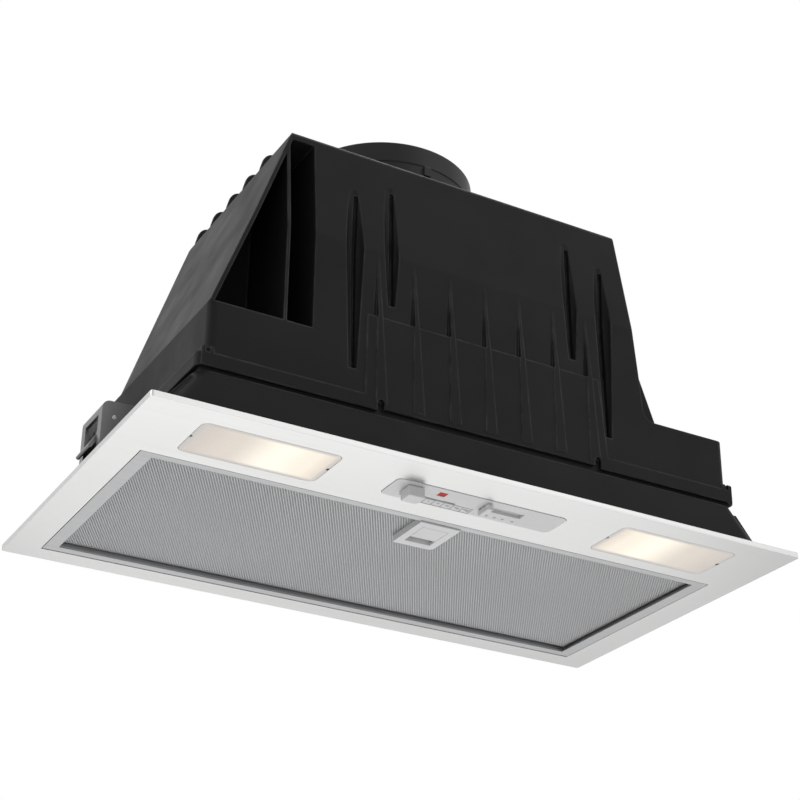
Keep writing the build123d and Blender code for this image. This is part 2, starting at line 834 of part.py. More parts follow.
save(fan_housing, "fan_housing")

# ---- duct collar and its flaps ----------------------------------------------------------


def block(x, y, z, mode=Mode.ADD):
    """A rectangular block between pairs of limits."""
    with Locations(((x[0] + x[1]) / 2, (y[0] + y[1]) / 2, (z[0] + z[1]) / 2)):
        Box(x[1] - x[0], y[1] - y[0], z[1] - z[0], mode=mode)


def bar(start, end, radius, mode=Mode.ADD):
    """A round bar between two points."""
    line = Edge.make_line(start, end)
    plane = Plane(origin=start, z_dir=Vector(*end) - Vector(*start))
    with BuildSketch(plane) as disc:
        Circle(radius)
    extrude(disc.sketch, amount=line.length, mode=mode)


collar_top = top_z + collar_height
duct_seat_z = collar_top - duct_overlap
neck_radius = collar_radius - collar_neck
collar_bore = collar_radius - collar_wall
ring_top = top_z + seat_ring_rise + seat_ring
flap_z = ring_top + flap_seat_gap + flap_thickness / 2
flap_radius = collar_bore - flap_rim_gap
flap_start = flap_knuckle_radius + flap_knuckle_gap

with BuildPart() as duct_collar:
    with BuildSketch(Plane((collar_x, 0, 0), x_dir=(1, 0, 0), z_dir=(0, -1, 0))):
        Polygon(
            (collar_bore, top_z),
            (collar_flange_radius, top_z),
            (collar_flange_radius, top_z + collar_flange),
            (neck_radius, top_z + collar_flange),
            (neck_radius, duct_seat_z),
            (collar_radius, duct_seat_z),
            (collar_radius, collar_top),
            (collar_bore, collar_top),
            (collar_bore, ring_top),
            (collar_bore - seat_ring_reach, ring_top),
            (collar_bore - seat_ring_reach, ring_top - seat_ring),
            (collar_bore, ring_top - seat_ring - seat_ring_reach),
            align=None,
        )
    revolve(axis=Axis((collar_x, 0, 0), (0, 0, 1)))
    with Locations((collar_x, 0, duct_seat_z - lug_drop)):
        with PolarLocations(collar_radius - collar_wall / 2, lug_count):
            Box(
                lug_reach + collar_wall / 2, lug_width, lug_height,
                align=(Align.MIN, Align.CENTER, Align.MAX),
            )
    pin_reach = collar_bore + flap_pin_seat
    bar((collar_x, -pin_reach, flap_z), (collar_x, pin_reach, flap_z), flap_pin_radius + pin_clearance,
        mode=Mode.SUBTRACT)
    for x, y in flange_screw_points:
        bar((x, y, top_z), (x, y, top_z + collar_flange), screw_shank_radius, mode=Mode.SUBTRACT)
save(duct_collar, "duct_collar")

with BuildPart() as flap_pin:
    bar((collar_x, -pin_reach, flap_z), (collar_x, pin_reach, flap_z), flap_pin_radius)
save(flap_pin, "flap_pin")


def flap(side, knuckle_y):
    """Half-round flap with two knuckles; side is -1 for the left one, 1 for the right one."""
    with BuildSketch(Plane.XY.offset(flap_z - flap_thickness / 2)) as leaf:
        with Locations((collar_x, 0)):
            Circle(flap_radius)
        with Locations((collar_x + side * (flap_start + far / 2), 0)):
            Rectangle(far, far, mode=Mode.INTERSECT)
        with Locations((collar_x + side * flap_start / 2, knuckle_y),
                       (collar_x + side * flap_start / 2, -knuckle_y)):
            Rectangle(flap_start + flap_thickness, flap_knuckle_length)
    extrude(leaf.sketch, amount=flap_thickness)
    for y in (-knuckle_y, knuckle_y):
        low = (collar_x, y - flap_knuckle_length / 2, flap_z)
        high = (collar_x, y + flap_knuckle_length / 2, flap_z)
        bar(low, high, flap_knuckle_radius)
    bar((collar_x, -far, flap_z), (collar_x, far, flap_z), flap_pin_radius + pin_clearance,
        mode=Mode.SUBTRACT)


with BuildPart() as flap_left:
    flap(-1, flap_left_knuckle_y)
save(flap_left, "flap_left")

with BuildPart() as flap_right:
    flap(1, flap_right_knuckle_y)
save(flap_right, "flap_right")

# ---- blower -----------------------------------------------------------------------------

wheel_x = collar_x
wheel_half = wheel_width / 2
wheel_inner = wheel_radius - blade_depth
hub_end_x = wheel_x + hub_length / 2
motor_start_x = hub_end_x + motor_gap
motor_end_x = motor_start_x + motor_length
casing_half = wheel_half + scroll_side_gap
side_plate_x = wheel_x + casing_half + scroll_wall
wheel_axis = Axis((0, wheel_y, wheel_z), (1, 0, 0))

with BuildPart() as impeller:
    with BuildSketch(Plane.YZ.offset(wheel_x - wheel_web / 2)):
        with Locations((wheel_y, wheel_z)):
            Circle(wheel_radius - wheel_ring)
    extrude(amount=wheel_web)
    with BuildSketch(Plane.YZ.offset(wheel_x - hub_length / 2)):
        with Locations((wheel_y, wheel_z)):
            Circle(hub_radius)
    extrude(amount=hub_length)
    for x in (wheel_x - wheel_half, wheel_x + wheel_half - wheel_ring):
        with BuildSketch(Plane.YZ.offset(x)):
            with Locations((wheel_y, wheel_z)):
                Circle(wheel_radius)
                Circle(wheel_inner, mode=Mode.SUBTRACT)
        extrude(amount=wheel_ring)
    # one forward-curved blade, repeated round the wheel
    with BuildSketch(Plane.XY, mode=Mode.PRIVATE) as blade:
        face_line = [
            (wheel_inner + blade_low_gap, 0),
            (wheel_inner + blade_depth * 0.4, blade_depth * 0.06),
            (wheel_inner + blade_depth * 0.7, blade_depth * 0.2),
            (wheel_radius - blade_high_gap, blade_depth * 0.5),
        ]
        Polygon(*face_line, *[(u, v + blade_thickness) for u, v in reversed(face_line)], align=None)
    with BuildSketch(Plane.YZ.offset(wheel_x - wheel_half + wheel_ring / 2)):
        with Locations((wheel_y, wheel_z)):
            with PolarLocations(0, blade_count):
                add(blade.sketch)
    extrude(amount=wheel_width - wheel_ring)
    with BuildSketch(Plane.YZ.offset(wheel_x - wheel_half)):
        with Locations((wheel_y, wheel_z)):
            Circle(shaft_radius)
    extrude(amount=wheel_width, mode=Mode.SUBTRACT)
save(impeller, "impeller")

with BuildPart() as motor_shaft:
    bar((wheel_x - hub_length / 2 - shaft_radius, wheel_y, wheel_z),
        (motor_start_x + motor_length / 2, wheel_y, wheel_z), shaft_radius)
    chamfer(motor_shaft.faces().sort_by(Axis.X)[0].edges(), length=shaft_radius / 4)
save(motor_shaft, "motor_shaft")

with BuildPart() as motor_body:
    bar((motor_start_x, wheel_y, wheel_z), (motor_end_x, wheel_y, wheel_z), motor_radius)
    chamfer(motor_body.faces().filter_by(Axis.X).edges(), length=motor_gap)
    bar((motor_start_x, wheel_y, wheel_z), (motor_start_x + motor_length / 2, wheel_y, wheel_z),
        shaft_radius + shaft_clearance, mode=Mode.SUBTRACT)
save(motor_body, "motor_body")


def spiral(grow):
    """Outline of the spiral casing in the YZ plane, grown outwards by a wall."""
    half = scroll_square / 2
    low_y, high_y = wheel_y - half, wheel_y + half
    low_z, high_z = wheel_z - half, wheel_z + half
    first = wheel_radius + tongue_gap + half + grow
    last = first + 2 * scroll_square
    sectors = [
        (high_y, low_z, first, 0),
        (low_y, low_z, first + scroll_square, 270),
        (low_y, high_z, last, 180),
    ]
    with BuildSketch(Plane.YZ) as outline:
        for y, z, radius, start in sectors:
            with BuildLine():
                arc = CenterArc((y, z), radius, start, 90)
                Polyline(arc @ 0, (y, z), arc @ 1)
            make_face()
        Polygon(
            (low_y - last, high_z),
            (-outlet_half - grow, top_inside),
            (outlet_half + 2 * grow, top_inside),
            (high_y, low_z + first - 2 * grow),
            (high_y, low_z),
            (low_y, low_z),
            (low_y, high_z),
            align=None,
        )
    return outline.sketch


outlet_half = collar_bore - outlet_margin
bracket_angles = (90, 210, 330)
bracket_foot_radius = wheel_radius + inlet_lip
bracket_x = side_plate_x + inlet_lip + 1
motor_screw_points = [
    (wheel_y + bracket_foot_radius * cos(radians(a)), wheel_z + bracket_foot_radius * sin(radians(a)))
    for a in bracket_angles
]

with BuildPart() as scroll:
    extrude(spiral(scroll_wall).moved(Location((wheel_x - casing_half - scroll_wall, 0, 0))),
            amount=2 * (casing_half + scroll_wall), dir=(1, 0, 0))
    extrude(spiral(0).moved(Location((wheel_x - casing_half, 0, 0))), amount=2 * casing_half,
            dir=(1, 0, 0), mode=Mode.SUBTRACT)
    # bell-mouth inlets
    for side in (-1, 1):
        plate_x = wheel_x + side * casing_half
        with BuildSketch(Plane.XY) as mouth:
            with Locations((0, wheel_y)):
                Polygon(
                    (plate_x, inlet_radius),
                    (plate_x + side * scroll_wall, inlet_radius),
                    (plate_x + side * (scroll_wall + inlet_lip), inlet_radius + inlet_lip),
                    (plate_x + side * (scroll_wall + inlet_lip), inlet_radius + inlet_lip + scroll_wall),
                    (plate_x + side * scroll_wall / 2, inlet_radius + 2 * scroll_wall),
                    (plate_x, inlet_radius + 2 * scroll_wall),
                    align=None,
                )
        ring = revolve(mouth.sketch.moved(Location((0, 0, wheel_z))), axis=wheel_axis, mode=Mode.PRIVATE)
        bar((plate_x - scroll_wall, wheel_y, wheel_z), (plate_x + scroll_wall * 2, wheel_y, wheel_z),
            inlet_radius + scroll_wall, mode=Mode.SUBTRACT)
        add(ring)
    for y, z in motor_screw_points:
        bar((side_plate_x - scroll_wall, y, z), (side_plate_x, y, z), screw_shank_radius,
            mode=Mode.SUBTRACT)
save(scroll, "scroll")

with BuildPart() as motor_bracket:
    with BuildSketch(Plane.YZ.offset(bracket_x)):
        with Locations((wheel_y, wheel_z)):
            Circle(motor_radius + bracket_arm_width / 2)
            with PolarLocations(0, 3, start_angle=bracket_angles[0]):
                Rectangle(
                    bracket_foot_radius + bracket_arm_width / 2, bracket_arm_width,
                    align=(Align.MIN, Align.CENTER),
                )
            Circle(motor_radius, mode=Mode.SUBTRACT)
    extrude(amount=bracket_arm_thickness)
    for y, z in motor_screw_points:
        bar((side_plate_x, y, z), (bracket_x + bracket_arm_thickness, y, z), bracket_arm_width / 2 - 0.5)
        bar((side_plate_x, y, z), (bracket_x + bracket_arm_thickness, y, z), screw_shank_radius,
            mode=Mode.SUBTRACT)
save(motor_bracket, "motor_bracket")

# ---- grease filter ----------------------------------------------------------------------

frame_half = filter_opening_width / 2 - filter_side_gap
frame_front_y = filter_opening_front_y + filter_side_gap
frame_rear_y = filter_opening_rear_y - filter_rear_gap
cassette_x = (-frame_half + cassette_inset, frame_half - cassette_inset)
cassette_y = (frame_front_y + cassette_inset, frame_rear_y - cassette_inset)
pack_x = (cassette_x[0] + cassette_wall, cassette_x[1] - cassette_wall)
pack_y = (cassette_y[0] + cassette_wall, cassette_y[1] - cassette_wall)
cassette_top = panel_inside + cassette_height
mesh_z = panel_inside + mesh_depth
back_z = cassette_top - back_thickness
latch_front_y = filter_opening_front_y + latch_margin
latch_rear_y = latch_front_y + latch_depth
latch_under = panel_under - latch_proud
latch_x_range = (latch_x - latch_width / 2, latch_x + latch_width / 2)

with BuildPart() as filter_frame:
    frame_sheet_z = (panel_under, panel_under + filter_sheet)
    block((-frame_half, frame_half), (frame_front_y, frame_rear_y), frame_sheet_z)
    block(cassette_x, cassette_y, (panel_under + filter_sheet, cassette_top))
    block(pack_x, pack_y, (panel_under + filter_sheet, cassette_top), mode=Mode.SUBTRACT)
    block(
        (-frame_half + filter_lip_side, frame_half - filter_lip_side),
        (frame_front_y + filter_lip_front, frame_rear_y - filter_lip_rear),
        frame_sheet_z,
        mode=Mode.SUBTRACT,
    )
    # ears with the hinge pins, at the rear corners
    for side in (-1, 1):
        root_x = side * (frame_half - hinge_pin_root)
        with Locations((side * frame_half, hinge_y, panel_under + filter_sheet)):
            Box(
                2 * hinge_pin_root, hinge_ear_depth, hinge_rise + hinge_pin_radius - filter_sheet,
                align=(Align.MAX if side > 0 else Align.MIN, Align.CENTER, Align.MIN),
            )
        bar((root_x, hinge_y, hinge_z), (side * (frame_half + hinge_pin_length), hinge_y, hinge_z),
            hinge_pin_radius)
    latch_cut_y = (latch_front_y, latch_rear_y)
    block(latch_x_range, latch_cut_y, (latch_under, mesh_z), mode=Mode.SUBTRACT)
save(filter_frame, "filter_frame")

with BuildPart() as filter_mesh:
    block(pack_x, pack_y, (mesh_z, mesh_z + mesh_thickness))
save(filter_mesh, "filter_mesh")

with BuildPart() as filter_back:
    block(pack_x, pack_y, (back_z, cassette_top))
save(filter_back, "filter_back")

# pleated pack between the two perforated sheets
core_low = mesh_z + mesh_thickness
core_high = back_z - core_sheet
core_count = int((pack_x[1] - pack_x[0]) // core_pitch)
core_step = (pack_x[1] - pack_x[0]) / core_count
core_line = []
for i in range(core_count):
    x = pack_x[0] + i * core_step
    core_line += [(x, core_low), (x + core_flat, core_low)]
    core_line += [(x + core_step / 2, core_high), (x + core_step / 2 + core_flat, core_high)]
with BuildPart() as filter_core:
    with BuildSketch(Plane.XZ.offset(-pack_y[1])):
        Polygon(*core_line, *[(x, z + core_sheet) for x, z in reversed(core_line)], align=None)
    extrude(amount=pack_y[1] - pack_y[0])
save(filter_core, "filter_core")

slider_front_y = latch_front_y + latch_slider_front
slider_rear_y = slider_front_y + latch_slider_depth
pocket_y = (slider_front_y - latch_slide_gap, slider_rear_y + latch_recess)
pocket_top = mesh_z - latch_roof
shelf_latch_z = latch_under + latch_skin
slider_half = latch_slider_width / 2
flange_half = slider_half + latch_flange
slider_flange_z = (shelf_latch_z + latch_slide_gap, pocket_top - latch_slide_gap)
bolt_half = latch_bolt_width / 2
bolt_nose_y = filter_opening_front_y + bolt_keeper_gap

with BuildPart() as latch_plate:
    block(latch_x_range, (latch_front_y, latch_rear_y), (latch_under, mesh_z))
    rear_corner = (latch_x_range[1], latch_rear_y, mesh_z)
    fillet(latch_plate.edges().filter_by(Axis.Z).sort_by_distance(rear_corner)[0], radius=latch_corner)
    lower_half = slider_half + latch_slide_gap
    upper_half = flange_half + latch_slide_gap
    block((latch_x - lower_half, latch_x + lower_half), pocket_y, (latch_under, shelf_latch_z),
          mode=Mode.SUBTRACT)
    block((latch_x - upper_half, latch_x + upper_half), pocket_y, (shelf_latch_z, pocket_top),
          mode=Mode.SUBTRACT)
    slot_half = bolt_half + latch_slide_gap
    block((latch_x - slot_half, latch_x + slot_half), (latch_front_y, slider_front_y),
          (shelf_latch_z, pocket_top), mode=Mode.SUBTRACT)
save(latch_plate, "latch_plate")

with BuildPart() as latch_slider:
    block((latch_x - slider_half, latch_x + slider_half), (slider_front_y, slider_rear_y),
          (latch_under, slider_flange_z[1]))
    block((latch_x - flange_half, latch_x + flange_half), (slider_front_y, slider_rear_y), slider_flange_z)
    block((latch_x - bolt_half, latch_x + bolt_half), (bolt_nose_y, slider_front_y), slider_flange_z)
    # sloped nose, and a finger edge along the rear of the slide
    nose = latch_slider.faces().sort_by(Axis.Y)[0].edges().sort_by(Axis.Z)[0]
    chamfer(nose, length=bolt_nose)
    finger = latch_slider.faces().sort_by(Axis.Z)[0].edges().sort_by(Axis.Y)[-1]
    fillet(finger, radius=finger_round)
save(latch_slider, "latch_slider")

# ---- control strip, its sliders and the switch ------------------------------------------

plate_under = panel_under - plate_proud
plate_half_width = control_width / 2 - insert_gap
plate_half_depth = control_depth / 2 - insert_gap
fan_front_y = panel_front_y + fan_knob_front
fan_rear_y = fan_front_y + fan_knob_depth
fan_slot_y = panel_front_y + fan_slot_front
light_front_y = panel_front_y + light_knob_front
light_slot_front_y = panel_front_y + light_slot_front
light_slot_y = light_slot_front_y + light_slot_width / 2
indicator_y = panel_front_y + indicator_front
knob_under = plate_under - knob_gap
stem_half = slot_width / 2
fan_stem_x = (fan_knob_x - fan_knob_width / 4, fan_knob_x + fan_knob_width / 4)
light_stem_x = (light_knob_x - light_knob_width / 2, light_knob_x + light_knob_width / 2)
stem_top = plate_under + stem_length
switch_z = (floor_top, floor_top + switch_height)


def slider_slot(stem_x, slot_y, travel, z, mode):
    """The narrow slot that a slider's stem runs in."""
    half = stem_half + stem_gap
    block((stem_x[0] - stem_gap, stem_x[1] + travel + stem_gap), (slot_y - half, slot_y + half), z, mode)


with BuildPart() as control_plate:
    with BuildSketch(Plane.XY.offset(plate_under)):
        with Locations((control_x, control_y)):
            RectangleRounded(2 * plate_half_width, 2 * plate_half_depth, control_corner - insert_gap)
    extrude(amount=panel_inside - plate_under)
    with BuildSketch(Plane.XY.offset(panel_inside)):
        with Locations((control_x, control_y)):
            Rectangle(2 * (plate_half_width - insert_ledge), 2 * (plate_half_depth - insert_ledge))
    extrude(amount=tray_floor)
    recess_end = light_stem_x[1] + light_travel + light_slot_margin
    block((light_stem_x[0], recess_end), (light_slot_front_y, light_slot_front_y + light_slot_width),
          (plate_under, plate_under + light_slot_recess), mode=Mode.SUBTRACT)
    slider_slot(fan_stem_x, fan_slot_y, fan_travel, (plate_under, floor_top), Mode.SUBTRACT)
    slider_slot(light_stem_x, light_slot_y, light_travel, (plate_under, floor_top), Mode.SUBTRACT)
    indicator_half = indicator_size / 2
    indicator_x_range = (indicator_x - indicator_half, indicator_x + indicator_half)
    indicator_y_range = (indicator_y - indicator_half, indicator_y + indicator_half)
    indicator_z_range = (plate_under, plate_under + indicator_sunk + indicator_depth)
    block(indicator_x_range, indicator_y_range, indicator_z_range, mode=Mode.SUBTRACT)
save(control_plate, "control_plate")

with BuildPart() as indicator_lens:
    lens_under = plate_under + indicator_sunk
    block(indicator_x_range, indicator_y_range, (lens_under, lens_under + indicator_depth))
save(indicator_lens, "indicator_lens")

with BuildPart() as fan_slider_knob:
    block((fan_knob_x - fan_knob_width / 2, fan_knob_x + fan_knob_width / 2), (fan_front_y, fan_rear_y),
          (knob_under - fan_knob_height, knob_under))
    fillet(fan_slider_knob.edges(), radius=knob_round)
    block((fan_knob_x - fan_knob_width / 2 + knob_round, fan_knob_x + fan_knob_width / 2 - knob_round),
          (fan_rear_y - knob_round, fan_rear_y + fan_knob_foot),
          (knob_under - fan_knob_foot_height, knob_under))
    block(fan_stem_x, (fan_slot_y - stem_half, fan_slot_y + stem_half), (knob_under - knob_round, stem_top))
save(fan_slider_knob, "fan_slider_knob")

with BuildPart() as light_slider_knob:
    block(light_stem_x, (light_front_y, light_front_y + light_knob_depth),
          (knob_under - light_knob_height, knob_under))
    fillet(light_slider_knob.edges(), radius=knob_round)
    block(light_stem_x, (light_slot_y - stem_half, light_slot_y + stem_half),
          (knob_under - 2 * knob_round, stem_top))
save(light_slider_knob, "light_slider_knob")

with BuildPart() as switch_body:
    switch_half_width = plate_half_width - switch_margin
    switch_half_depth = plate_half_depth - insert_ledge
    block((control_x - switch_half_width, control_x + switch_half_width),
          (control_y - switch_half_depth, control_y + switch_half_depth), switch_z)
    channel_z = (floor_top, stem_top + knob_gap)
    slider_slot(fan_stem_x, fan_slot_y, fan_travel, channel_z, Mode.SUBTRACT)
    slider_slot(light_stem_x, light_slot_y, light_travel, channel_z, Mode.SUBTRACT)
save(switch_body, "switch_body")

# the framed strip of five level marks, and the lamp slider's marks
with BuildPart() as control_symbols:
    with BuildSketch(Plane.XY.offset(plate_under - symbol_proud)):
        strip_width = strip_right_x - strip_left_x
        strip_mid_x = (strip_left_x + strip_right_x) / 2
        strip_mid_y = panel_front_y + strip_front + strip_depth / 2
        with Locations((strip_mid_x, strip_mid_y)):
            Rectangle(strip_width, strip_depth)
            Rectangle(strip_width - 2 * strip_line, strip_depth - 2 * strip_line, mode=Mode.SUBTRACT)
            with GridLocations(strip_width / symbol_count, 0, symbol_count - 1, 1):
                Rectangle(strip_line, strip_depth)
        for i in range(symbol_count):
            cell_x = strip_left_x + (i + 0.5) * strip_width / symbol_count
            for bar_number in range(i + 1):
                bar_x = cell_x + (bar_number - i / 2) * symbol_pitch
                rise_share = (1 - symbol_low_share) * bar_number / (symbol_count - 1)
                bar_size = symbol_height * (symbol_low_share + rise_share)
                with Locations((bar_x, strip_mid_y - symbol_height / 2)):
                    Rectangle(strip_line, bar_size, align=(Align.CENTER, Align.MIN))
    extrude(amount=symbol_proud)
    with BuildSketch(Plane.XY.offset(plate_under - symbol_proud)):
        for x in mark_x:
            with Locations((x, panel_front_y + mark_front)):
                RegularPolygon(mark_size / 2, 4)
                RegularPolygon(mark_size / 2 - strip_line, 4, mode=Mode.SUBTRACT)
    extrude(amount=symbol_proud)
save(control_symbols, "control_symbols")

# ---- lamps ------------------------------------------------------------------------------

reflector_top = floor_top + reflector_height
bulb_z = floor_top + reflector_height / 2

with BuildPart() as lamp_lens_right:
    with BuildSketch(Plane.XY.offset(panel_under)):
        with Locations((lamp_x, lamp_y)):
            RectangleRounded(
                lamp_window_width - 2 * insert_gap, lamp_window_depth - 2 * insert_gap,
                lamp_window_corner - insert_gap,
            )
    extrude(amount=panel_sheet)
    with BuildSketch(Plane.XY.offset(panel_inside)):
        with Locations((lamp_x, lamp_hole_y)):
            Rectangle(lamp_hole_width - 2 * insert_gap, lamp_hole_depth - 2 * insert_gap)
    extrude(amount=tray_floor)
    # thumb notches in the middle of the short sides
    for side in (-1, 1):
        with Locations((lamp_x + side * (lamp_window_width / 2 - insert_gap), lamp_y, panel_under)):
            Cylinder(lens_notch, panel_sheet, align=(Align.CENTER, Align.CENTER, Align.MIN),
                     mode=Mode.SUBTRACT)
save(lamp_lens_right, "lamp_lens_right")


def reflector_shell(shrink, bottom_z):
    """The tapered box of the reflector, drawn in by a wall."""
    sections = []
    for z, taper in ((bottom_z, 0), (reflector_top - shrink, reflector_taper)):
        with BuildSketch(Plane.XY.offset(z)) as section:
            with Locations((lamp_x, lamp_hole_y)):
                Rectangle(
                    lamp_hole_width + 2 * reflector_wall - 2 * shrink - 2 * taper,
                    lamp_hole_depth + 2 * reflector_wall - 2 * shrink - taper,
                )
        sections.append(section.sketch)
    return sections


holder_start_x = lamp_x - lamp_hole_width / 2 + reflector_taper
holder_x = (holder_start_x, holder_start_x + holder_length)

with BuildPart() as reflector_right:
    loft(reflector_shell(0, floor_top), ruled=True)
    loft(reflector_shell(reflector_wall, floor_top), ruled=True, mode=Mode.SUBTRACT)
save(reflector_right, "reflector_right")

with BuildPart() as lamp_holder_right:
    block(holder_x, (lamp_hole_y - holder_size / 2, lamp_hole_y + holder_size / 2),
          (bulb_z - holder_size / 2, reflector_top - reflector_wall))
save(lamp_holder_right, "lamp_holder_right")

with BuildPart() as lamp_bulb_right:
    bar((holder_x[1], lamp_hole_y, bulb_z), (holder_x[1] + bulb_length, lamp_hole_y, bulb_z),
        bulb_radius)
    chamfer(lamp_bulb_right.faces().sort_by(Axis.X)[-1].edges(), length=bulb_tip)
save(lamp_bulb_right, "lamp_bulb_right")

# ---- side clips -------------------------------------------------------------------------

clip_inner_gap = clip_seat_gap * hypot(1, skirt_lean)


def skirt_face_x(z):
    """Outer face of the skirt's side at a height, with the clip's clearance added."""
    return foot_width / 2 - (z - floor_top) * skirt_lean + clip_inner_gap


clip_reach = foot_width / 2
clip_inner_x = band_width / 2 + clip_seat_gap
clip_half = clip_length / 2
web_inner_x = clip_reach - clip_cheek
window_half = clip_half - clip_window_margin
clip_knee_z = floor_top + (foot_width / 2 + clip_inner_gap - clip_inner_x) / skirt_lean
pawl_pivot_x = clip_reach - pawl_set_back
pawl_tip_x = clip_reach + pawl_tip_reach
pawl_half = window_half - pawl_side_gap
coil_half = pawl_coil_room / 2

with BuildPart() as clip_bracket_right:
    with BuildSketch(Plane.XZ.offset(-clip_half)) as cheek:
        Polygon(
            (skirt_face_x(clip_foot_z), clip_foot_z),
            (clip_reach, clip_foot_z),
            (clip_reach, clip_top_z),
            (clip_inner_x, clip_top_z),
            (clip_inner_x, clip_knee_z),
            align=None,
        )
        fillet(cheek.vertices().group_by(Axis.Y)[-1].sort_by(Axis.X)[-1], radius=clip_corner)
    extrude(amount=clip_length)
    block((0, web_inner_x), (-clip_half + clip_cheek, clip_half - clip_cheek), (-far, far),
          mode=Mode.SUBTRACT)
    block((web_inner_x, clip_reach), (-window_half, window_half), (clip_window_bottom, clip_window_top),
          mode=Mode.SUBTRACT)
    bar((pawl_pivot_x, -clip_half, pawl_pivot_z), (pawl_pivot_x, clip_half, pawl_pivot_z),
        pawl_pin_radius, mode=Mode.SUBTRACT)
save(clip_bracket_right, "clip_bracket_right")

with BuildPart() as clip_pin_right:
    bar((pawl_pivot_x, -clip_half, pawl_pivot_z), (pawl_pivot_x, clip_half, pawl_pivot_z), pawl_pin_radius)
save(clip_pin_right, "clip_pin_right")

pawl_run = pawl_tip_x - pawl_pivot_x
pawl_drop = pawl_pivot_z - pawl_tip_z
pawl_reach = hypot(pawl_run, pawl_drop)
pawl_plane = Plane(
    origin=(pawl_pivot_x, 0, pawl_pivot_z), x_dir=(pawl_run, 0, -pawl_drop), z_dir=(0, 1, 0)
)

with BuildPart() as clip_pawl_right:
    with BuildSketch(pawl_plane.offset(-pawl_half)):
        Circle(pawl_knuckle_radius)
        Rectangle(pawl_reach, pawl_thickness, align=(Align.MIN, Align.CENTER))
    extrude(amount=2 * pawl_half)
    pawl_edges = clip_pawl_right.edges().filter_by(Axis.Y)
    fillet(pawl_edges.sort_by_distance((pawl_tip_x, 0, pawl_tip_z))[0:2],
           radius=pawl_thickness * pawl_nose_share)
    bar((pawl_pivot_x, -pawl_half, pawl_pivot_z), (pawl_pivot_x, pawl_half, pawl_pivot_z),
        pawl_pin_radius + pin_clearance, mode=Mode.SUBTRACT)
    bar((pawl_pivot_x, -coil_half, pawl_pivot_z), (pawl_pivot_x, coil_half, pawl_pivot_z),
        pawl_knuckle_radius + 1, mode=Mode.SUBTRACT)
save(clip_pawl_right, "clip_pawl_right")

# torsion spring: a close-wound coil round the pin, and a leg along the pawl
coil_height = pawl_coil_room - 2 * pawl_side_gap
coil_inner = pawl_spring_radius - pawl_spring_wire / 2
coil_outer = pawl_spring_radius + pawl_spring_wire / 2
coil_pitch = coil_height / pawl_spring_turns
coil_profile = [(coil_inner, -coil_height / 2)]
for i in range(pawl_spring_turns):
    turn_start = -coil_height / 2 + i * coil_pitch
    coil_profile += [(pawl_spring_radius, turn_start), (coil_outer, turn_start + coil_pitch / 2)]
coil_profile += [(pawl_spring_radius, coil_height / 2), (coil_inner, coil_height / 2)]

with BuildPart() as clip_spring_right:
    with BuildSketch(Plane((pawl_pivot_x, 0, pawl_pivot_z), x_dir=(1, 0, 0), z_dir=(0, 0, 1))):
        Polygon(*coil_profile, align=None)
    revolve(axis=Axis((pawl_pivot_x, 0, pawl_pivot_z), (0, 1, 0)))
    # leg from the end of the coil along the pawl's inner side
    leg_y = coil_height / 2 - coil_pitch / 2
    leg_start = Vector(pawl_pivot_x, leg_y, pawl_pivot_z) + pawl_plane.y_dir * pawl_spring_radius
    leg_end = leg_start + pawl_plane.x_dir * pawl_reach * pawl_leg_share
    bar(tuple(leg_start), tuple(leg_end), pawl_spring_wire / 2)
save(clip_spring_right, "clip_spring_right")

# ---- electrical pieces ------------------------------------------------------------------

rear_inside_y = box_depth / 2 - housing_wall
terminal_x_range = (terminal_x - terminal_width / 2, terminal_x + terminal_width / 2)
terminal_z_range = (terminal_z - terminal_height / 2, terminal_z + terminal_height / 2)
terminal_front_y = rear_inside_y - terminal_depth
gland_neck = gland_radius - gland_shoulder

with BuildPart() as terminal_box:
    block(terminal_x_range, (terminal_front_y, rear_inside_y), terminal_z_range)
    block((terminal_x_range[0] + terminal_cover, terminal_x_range[1] - terminal_cover),
          (terminal_front_y, rear_inside_y - terminal_cover),
          (terminal_z_range[0] + terminal_cover, terminal_z_range[1] - terminal_cover), mode=Mode.SUBTRACT)
    for side in (-1, 1):
        x = terminal_x + side * terminal_screw_reach
        bar((x, terminal_front_y, terminal_z), (x, rear_inside_y, terminal_z), terminal_boss)
        bar((x, terminal_front_y, terminal_z), (x, terminal_front_y + screw_shank_length, terminal_z),
            screw_shank_radius, mode=Mode.SUBTRACT)
    bar((terminal_x, rear_inside_y - terminal_cover, terminal_z), (terminal_x, rear_inside_y, terminal_z),
        gland_neck, mode=Mode.SUBTRACT)
save(terminal_box, "terminal_box")

with BuildPart() as terminal_cover_plate:
    block(terminal_x_range, (terminal_front_y - terminal_cover, terminal_front_y), terminal_z_range)
    for side in (-1, 1):
        x = terminal_x + side * terminal_screw_reach
        bar((x, terminal_front_y - terminal_cover, terminal_z), (x, terminal_front_y, terminal_z),
            screw_shank_radius, mode=Mode.SUBTRACT)
save(terminal_cover_plate, "terminal_cover")

with BuildPart() as capacitor:
    bar((capacitor_x, rear_inside_y - capacitor_radius, terminal_z),
        (capacitor_x + capacitor_length, rear_inside_y - capacitor_radius, terminal_z), capacitor_radius)
    chamfer(capacitor.faces().filter_by(Axis.X).edges(), length=terminal_cover)
save(capacitor, "capacitor")

